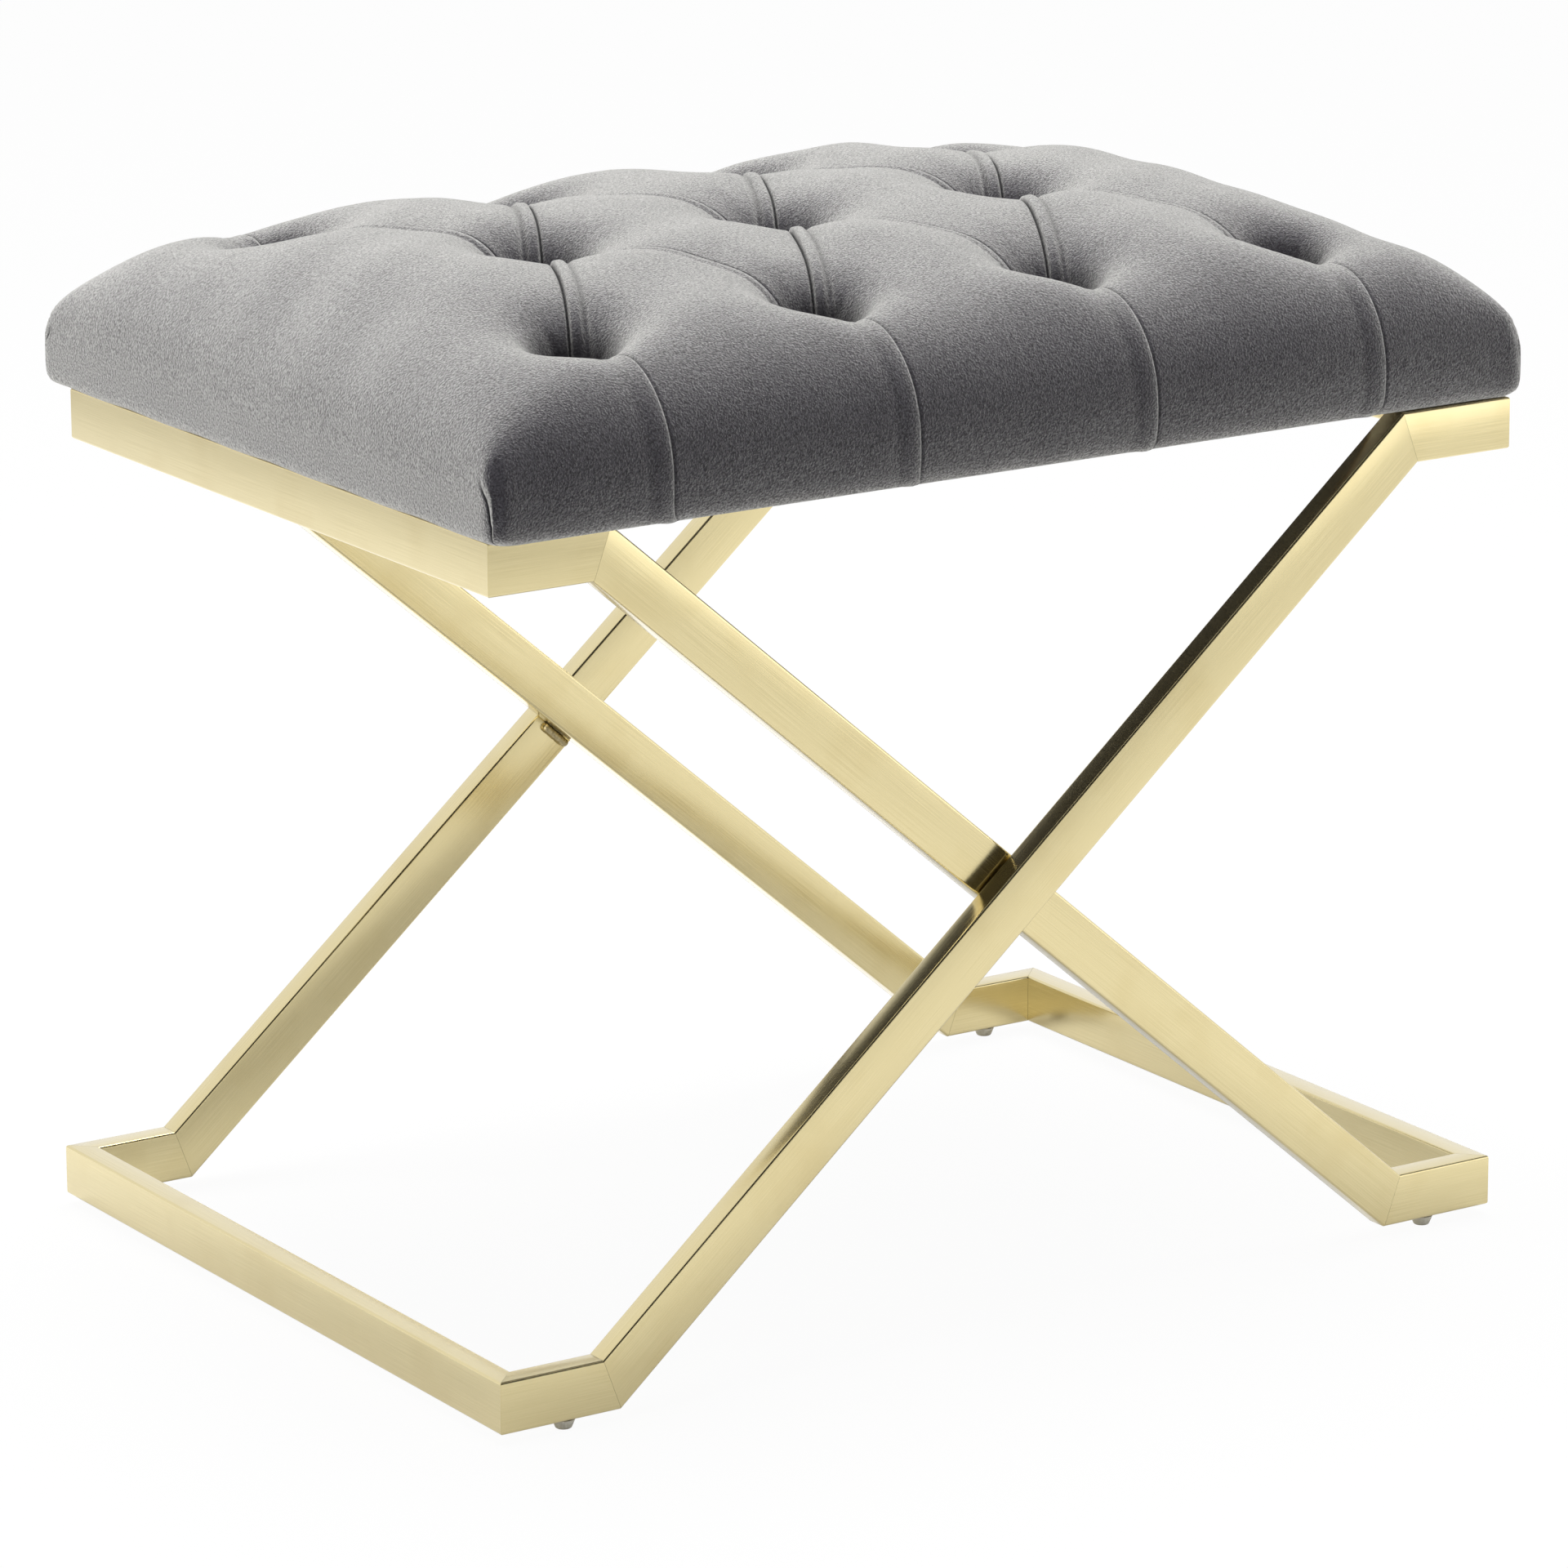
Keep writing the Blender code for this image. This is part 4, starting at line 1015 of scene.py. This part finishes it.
# Painted shade: the colour darkens to near black in creases, round the buttons and at the folds' far sides,
# and the sheen fades there
painted_shade_share = add_node(velvet, "ShaderNodeMapRange", {"Value": painted_light_attribute.outputs["Fac"], "To Max": 1.0})
painted_shade_tone = add_node(
    velvet,
    "ShaderNodeMix",
    {0: painted_shade_share.outputs["Result"], 6: velvet_tone.outputs[2], 7: linear("#171618")},
    data_type="RGBA",
)
sheen_out_of_painted_shade = add_node(
    velvet, "ShaderNodeMapRange", {"Value": painted_light_attribute.outputs["Fac"], "To Min": 0.6, "To Max": 0.0}
)
nap_sheen = add_node(
    velvet,
    "ShaderNodeMapRange",
    {"Value": pile.outputs["Fac"], "From Min": 0.35, "From Max": 0.65, "To Min": 1.4, "To Max": 0.5},
)
pile_sheen = add_node(
    velvet,
    "ShaderNodeMath",
    {0: sheen_out_of_painted_shade.outputs["Result"], 1: nap_sheen.outputs["Result"]},
    operation="MULTIPLY",
)
set_inputs(
    velvet,
    velvet_shader,
    {
        "Base Color": painted_shade_tone.outputs[2],
        "Roughness": 0.9,
        "Specular IOR Level": 0.1,
        "Sheen Weight": pile_sheen.outputs["Value"],
        "Sheen Roughness": 0.4,
        "Sheen Tint": linear("#F4F2F0"),
        "Normal": pile_relief.outputs["Normal"],
    },
)

thicken(velvet_cover, COVER_THICKNESS * MM)
finish_piece(velvet_cover, velvet, angle=75.0)
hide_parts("velvet_cover")


# Tuft buttons and ties
# A velvet-covered button in each tuft, held by waxed twine that runs through the foam and board to
# a knot. The twine is hidden, so its solid stays.

BUTTON_SKIRT = 0.002
for row, count in (("front", 4), ("middle", 3), ("back", 4)):
    for step in range(1, count + 1):
        low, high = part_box(f"tuft_button_{row}_{step}")
        centre = (low + high) / 2
        radius = (high.x - low.x) / 2
        button = start_piece(
            f"tuft_button_{row}_{step}_dome",
            bpy.ops.mesh.primitive_uv_sphere_add,
            segments=32,
            ring_count=16,
            radius=radius,
            location=(centre.x, centre.y, low.z + BUTTON_SKIRT),
        )
        bpy.ops.transform.resize(value=(1.0, 1.0, (high.z - low.z - BUTTON_SKIRT) / radius))
        bpy.ops.mesh.bisect(
            plane_co=(centre.x, centre.y, low.z), plane_no=(0.0, 0.0, -1.0), clear_outer=True, use_fill=True
        )
        finish_piece(button, velvet, angle=60.0)
        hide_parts(f"tuft_button_{row}_{step}")

# Waxed linen twine: straw-coloured strands with a faint shine of wax
twine, twine_shader = new_finish("waxed_linen_twine")
twine_place = add_node(twine, "ShaderNodeTexCoord", {})
# Twist of the strands, about 4 mm a turn
strands = add_node(
    twine,
    "ShaderNodeTexWave",
    {"Vector": twine_place.outputs["Object"], "Scale": 160.0, "Distortion": 1.0},
    bands_direction="DIAGONAL",
)
twine_tone = add_node(
    twine,
    "ShaderNodeMix",
    {0: strands.outputs["Fac"], 6: linear("#A8976F"), 7: linear("#D3C49C")},
    data_type="RGBA",
)
set_inputs(twine, twine_shader, {"Base Color": twine_tone.outputs[2], "Roughness": 0.6})
for name, node in nodes.items():
    if name.startswith("tuft_tie_"):
        dress(node, twine)


# Dust cover
# A sheet of black spun-bonded cloth over the open underside; the real one is folded in at its edges and
# stapled to the board inside both frames, and this one is flat to its edges. It sags a little between its
# edges.

DUST_THICKNESS = 0.0004
DUST_SAG = 0.0015
DUST_RIPPLE = 0.0004

# Spun-bonded cloth: a dull near-black felt with a fine field of bond points
lining_cloth, lining_shader = new_finish("black_spun_bonded_cloth")
lining_place = add_node(lining_cloth, "ShaderNodeTexCoord", {})
# Bond points 1.5 mm apart
bonds = add_node(
    lining_cloth, "ShaderNodeTexVoronoi", {"Vector": lining_place.outputs["Object"], "Scale": 660.0}
)
lining_tone = add_node(
    lining_cloth,
    "ShaderNodeMix",
    {0: bonds.outputs["Distance"], 6: linear("#222123"), 7: linear("#302F30")},
    data_type="RGBA",
)
bond_relief = add_node(
    lining_cloth,
    "ShaderNodeBump",
    {"Height": bonds.outputs["Distance"], "Strength": 0.15, "Distance": 0.0003},
)
set_inputs(
    lining_cloth,
    lining_shader,
    {"Base Color": lining_tone.outputs[2], "Roughness": 0.85, "Normal": bond_relief.outputs["Normal"]},
)

low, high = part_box("dust_cover")
bpy.ops.object.select_all(action="DESELECT")
bpy.ops.mesh.primitive_grid_add(
    x_subdivisions=90, y_subdivisions=62, size=1.0, location=(0.0, 0.0, high.z)
)
dust_cloth = bpy.context.object
dust_cloth.name = "dust_cloth"
dust_cloth.scale = (high.x - low.x, high.y - low.y, 1.0)
bpy.ops.object.transform_apply(location=True, rotation=True, scale=True)
for vertex in dust_cloth.data.vertices:
    across = 1.0 - (vertex.co.x / high.x) ** 2
    along = 1.0 - (vertex.co.y / high.y) ** 2
    sag = DUST_SAG * min(1.0, 3.0 * across) * min(1.0, 3.0 * along)
    ripple = DUST_RIPPLE * math.sin(vertex.co.x * 61.0 + 0.7) * math.sin(vertex.co.y * 83.0)
    vertex.co.z -= sag + ripple * min(1.0, 4.0 * across * along)
thicken(dust_cloth, DUST_THICKNESS)
finish_piece(dust_cloth, lining_cloth, angle=60.0)
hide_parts("dust_cover")


# Studio
# A pale floor and a white surround under three soft lamps, with a dark flag for the brass to mirror,
# and the camera at the photograph's place.

FLOOR_SEEN = 0.95
FLOOR_MIRRORED = 0.3
SURROUND_LIGHT = 0.62

# Matt white paint that the camera sees as white, and that keeps the shadow under the bench
floor_paint, floor_shader = new_finish("white_studio_floor")
set_inputs(floor_paint, floor_shader, {"Base Color": linear("#F4F4F4"), "Roughness": 0.8})
floor_rays = add_node(floor_paint, "ShaderNodeLightPath", {})
floor_glow = add_node(floor_paint, "ShaderNodeEmission", {"Color": linear("#FFFFFF"), "Strength": 1.0})
seen = add_node(
    floor_paint,
    "ShaderNodeMath",
    {0: floor_rays.outputs["Is Camera Ray"], 1: floor_rays.outputs["Is Transmission Ray"]},
    operation="MAXIMUM",
)
seen_share = add_node(
    floor_paint, "ShaderNodeMath", {0: seen.outputs["Value"], 1: FLOOR_SEEN}, operation="MULTIPLY"
)
gloss_share = add_node(
    floor_paint,
    "ShaderNodeMath",
    {0: floor_rays.outputs["Is Glossy Ray"], 1: FLOOR_MIRRORED},
    operation="MULTIPLY",
)
glow_share = add_node(
    floor_paint,
    "ShaderNodeMath",
    {0: seen_share.outputs["Value"], 1: gloss_share.outputs["Value"]},
    operation="MAXIMUM",
)
floor_mix = add_node(
    floor_paint,
    "ShaderNodeMixShader",
    {0: glow_share.outputs["Value"], 1: floor_shader.outputs["BSDF"], 2: floor_glow.outputs["Emission"]},
)
floor_output = floor_paint.node_tree.nodes["Material Output"]
set_inputs(floor_paint, floor_output, {"Surface": floor_mix.outputs["Shader"]})
bpy.ops.object.select_all(action="DESELECT")
bpy.ops.mesh.primitive_plane_add(size=12.0)
floor = bpy.context.object
floor.name = "studio_floor"
floor.data.materials.append(floor_paint)

# A flag of matt black cloth, hung high in front, which only reflections and shade can find
flag_cloth, flag_shader = new_finish("black_flag_cloth")
set_inputs(flag_cloth, flag_shader, {"Base Color": linear("#2A2926"), "Roughness": 0.9})
bpy.ops.object.select_all(action="DESELECT")
bpy.ops.mesh.primitive_plane_add(
    size=1.0, location=(0.0, -2.5, 2.15), rotation=(math.radians(36.0), 0.0, 0.0)
)
flag = bpy.context.object
flag.name = "dark_flag"
flag.scale = (8.0, 4.2, 1.0)
flag.visible_camera = False
flag.data.materials.append(flag_cloth)

surround = bpy.data.worlds.new("white_surround")
surround.use_nodes = True
bpy.context.scene.world = surround
surround_rays = add_node(surround, "ShaderNodeLightPath", {})
surround_seen = add_node(
    surround,
    "ShaderNodeMath",
    {0: surround_rays.outputs["Is Camera Ray"], 1: surround_rays.outputs["Is Glossy Ray"]},
    operation="MAXIMUM",
)
surround_through = add_node(
    surround,
    "ShaderNodeMath",
    {0: surround_seen.outputs["Value"], 1: surround_rays.outputs["Is Transmission Ray"]},
    operation="MAXIMUM",
)
surround_level = add_node(
    surround,
    "ShaderNodeMapRange",
    {"Value": surround_through.outputs["Value"], "To Min": SURROUND_LIGHT, "To Max": 1.0},
)
background = surround.node_tree.nodes["Background"]
set_inputs(
    surround, background, {"Color": linear("#FFFFFF"), "Strength": surround_level.outputs["Result"]}
)

# Each lamp: its name, place and size in metres, and power in watts
for name, place, size, power in (
    ("top_softbox", (0.2, 0.3, 2.3), 1.6, 61.0),
    ("left_softbox", (-2.4, 0.4, 0.5), 1.4, 21.0),
    ("right_fill_card", (1.7, -1.9, 0.75), 1.4, 6.5),
):
    lamp = bpy.data.lights.new(name, "AREA")
    lamp.shape = "SQUARE"
    lamp.size = size
    lamp.energy = power
    softbox = bpy.data.objects.new(name, lamp)
    bpy.context.scene.collection.objects.link(softbox)
    softbox.location = place
    softbox.rotation_euler = (Vector((0.0, 0.0, 0.4)) - Vector(place)).to_track_quat("-Z", "Y").to_euler()

lens = bpy.data.cameras.new("studio_camera")
lens.sensor_width = 36.0
lens.lens = 171.3
camera = bpy.data.objects.new("studio_camera", lens)
bpy.context.scene.collection.objects.link(camera)
camera.location = (-1.9287, -2.9746, 1.1855)
camera.rotation_euler = [math.radians(angle) for angle in (74.79, 0.24, -33.05)]
bpy.context.scene.camera = camera
bpy.context.scene.view_settings.view_transform = "Standard"
